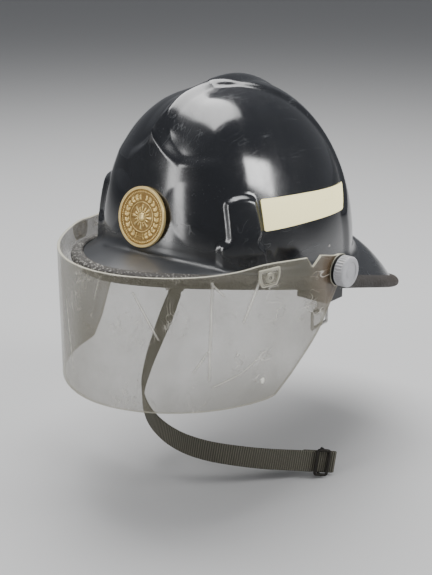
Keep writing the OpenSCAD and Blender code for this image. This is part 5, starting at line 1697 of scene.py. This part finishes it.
class HELMET_OT_stage(Operator):
    """Pale floor, soft lights and the camera"""

    bl_idname = "helmet.stage"
    bl_label = "Stage"

    def softbox(self, name, turn, rise, distance, size, strength, roll=0.0):
        """An area light aimed at the helmet from its turn, rise and distance.

        Its power is its strength times pi times its area, and roll turns it about its aim.
        """
        lamp = bpy.data.lights.new(name, "AREA")
        lamp.shape, lamp.size, lamp.size_y = "RECTANGLE", size[0], size[1]
        lamp.energy = strength * math.pi * size[0] * size[1]
        t, r = math.radians(turn), math.radians(rise)
        level = Vector((math.cos(t), math.sin(t), 0)) * math.cos(r)
        place = (level + Vector((0, 0, math.sin(r)))) * distance
        holder = bpy.data.objects.new(name, lamp)
        bpy.context.scene.collection.objects.link(holder)
        aim = (-place).to_track_quat("-Z", "Y").to_matrix().to_4x4()
        rolled = Matrix.Rotation(math.radians(roll), 4, "Z")
        holder.matrix_world = Matrix.Translation(place) @ aim @ rolled

    def camera(self):
        """A camera without roll at the photograph's turn, tilt, focal length and distance.

        The focal length and the origin's place in the picture are in pixels of the photograph,
        and the distance is in millimetres.
        """
        turn, tilt = math.radians(39.5), math.radians(18.95)
        focal, reach, origin = 1149.0, 1055.88, (239.80, 219.89)
        right = Vector((math.cos(turn), math.sin(turn), 0))
        level = Vector((-math.sin(turn), math.cos(turn), 0)) * math.cos(tilt)
        ahead = level - Vector((0, 0, math.sin(tilt)))
        up = right.cross(ahead)
        aside = (origin[0] - PHOTO_WIDTH / 2) / focal * reach
        above = (PHOTO_HEIGHT / 2 - origin[1]) / focal * reach
        place = -(ahead * reach + right * aside + up * above) / 1000
        lens = bpy.data.cameras.new("camera")
        lens.sensor_fit, lens.sensor_height = "VERTICAL", 24
        lens.lens = focal / PHOTO_HEIGHT * lens.sensor_height
        lens.clip_start, lens.clip_end = 0.05, 50
        holder = bpy.data.objects.new("camera", lens)
        bpy.context.scene.collection.objects.link(holder)
        turned_axes = Matrix((right, up, -ahead)).transposed().to_4x4()
        holder.matrix_world = Matrix.Translation(place) @ turned_axes
        bpy.context.scene.camera = holder

    def execute(self, context):
        c = colours(context)
        # A floor of 60 m, one millimetre under the lowest point
        floor_z, count = cad_box[0][2] - 0.001, 25
        x = np.linspace(-30, 30, count)
        grid = point(x[:, None], x[None, :], floor_z)
        faces = grid_faces(count, count)[:, ::-1]
        mesh = bpy.data.meshes.new("studio_floor")
        mesh.from_pydata(grid.reshape(-1, 3).tolist(), [], faces.tolist())
        mesh.materials.append(studio_floor(c))
        floor = bpy.data.objects.new("studio_floor", mesh)
        context.scene.collection.objects.link(floor)
        self.camera()
        # Each light: turn from +X, height angle, distance, width and height, strength per area
        self.softbox("overhead", 138, 72, 1.54, (1.28, 1.74), 6.5, 45)
        self.softbox("left_strip", -101, 18, 1.60, (0.32, 1.45), 7.0)
        self.softbox("right_window", 25, 25, 1.43, (0.70, 0.42), 13.0, -29)
        world = bpy.data.worlds.new("studio")
        context.scene.world = world
        world.use_nodes = True
        ground = world.node_tree.nodes["Background"]
        ground.inputs["Color"].default_value = (0.72, 0.74, 0.78, 1)
        ground.inputs["Strength"].default_value = 0.26
        return {"FINISHED"}


class HELMET_PT_pieces(Panel):
    """Lists the helmet's pieces and its sizes"""

    bl_idname = "HELMET_PT_pieces"
    bl_label = "Fire helmet"
    bl_space_type = "VIEW_3D"
    bl_region_type = "UI"
    bl_category = "Helmet"

    def draw(self, context):
        column = self.layout.column(align=True)
        for piece in PIECES:
            column.operator(piece.bl_idname)
        for group in (context.scene.helmet_shell, context.scene.helmet_fittings,
                      context.scene.helmet_harness, context.scene.helmet_colours):
            box = self.layout.box().column(align=True)
            for prop in group.bl_rna.properties:
                if prop.identifier not in ("rna_type", "name"):
                    box.prop(group, prop.identifier)


PIECES = (
    HELMET_OT_shell, HELMET_OT_trim, HELMET_OT_medallion, HELMET_OT_marking, HELMET_OT_shield,
    HELMET_OT_bumpers, HELMET_OT_pivots, HELMET_OT_liner, HELMET_OT_headband, HELMET_OT_cradle,
    HELMET_OT_chin_strap, HELMET_OT_ratchet, HELMET_OT_metal, HELMET_OT_stage,
)
CLASSES = (ShellSizes, FittingSizes, HarnessSizes, HelmetColours, *PIECES, HELMET_PT_pieces)


def register():
    for entry in CLASSES:
        bpy.utils.register_class(entry)
    bpy.types.Scene.helmet_shell = PointerProperty(type=ShellSizes)
    bpy.types.Scene.helmet_fittings = PointerProperty(type=FittingSizes)
    bpy.types.Scene.helmet_harness = PointerProperty(type=HarnessSizes)
    bpy.types.Scene.helmet_colours = PointerProperty(type=HelmetColours)


def unregister():
    del bpy.types.Scene.helmet_colours
    del bpy.types.Scene.helmet_harness
    del bpy.types.Scene.helmet_fittings
    del bpy.types.Scene.helmet_shell
    for entry in reversed(CLASSES):
        bpy.utils.unregister_class(entry)


def main():
    register()
    for piece in PIECES:
        group, name = piece.bl_idname.split(".")
        getattr(getattr(bpy.ops, group), name)()


if __name__ == "__main__":
    main()
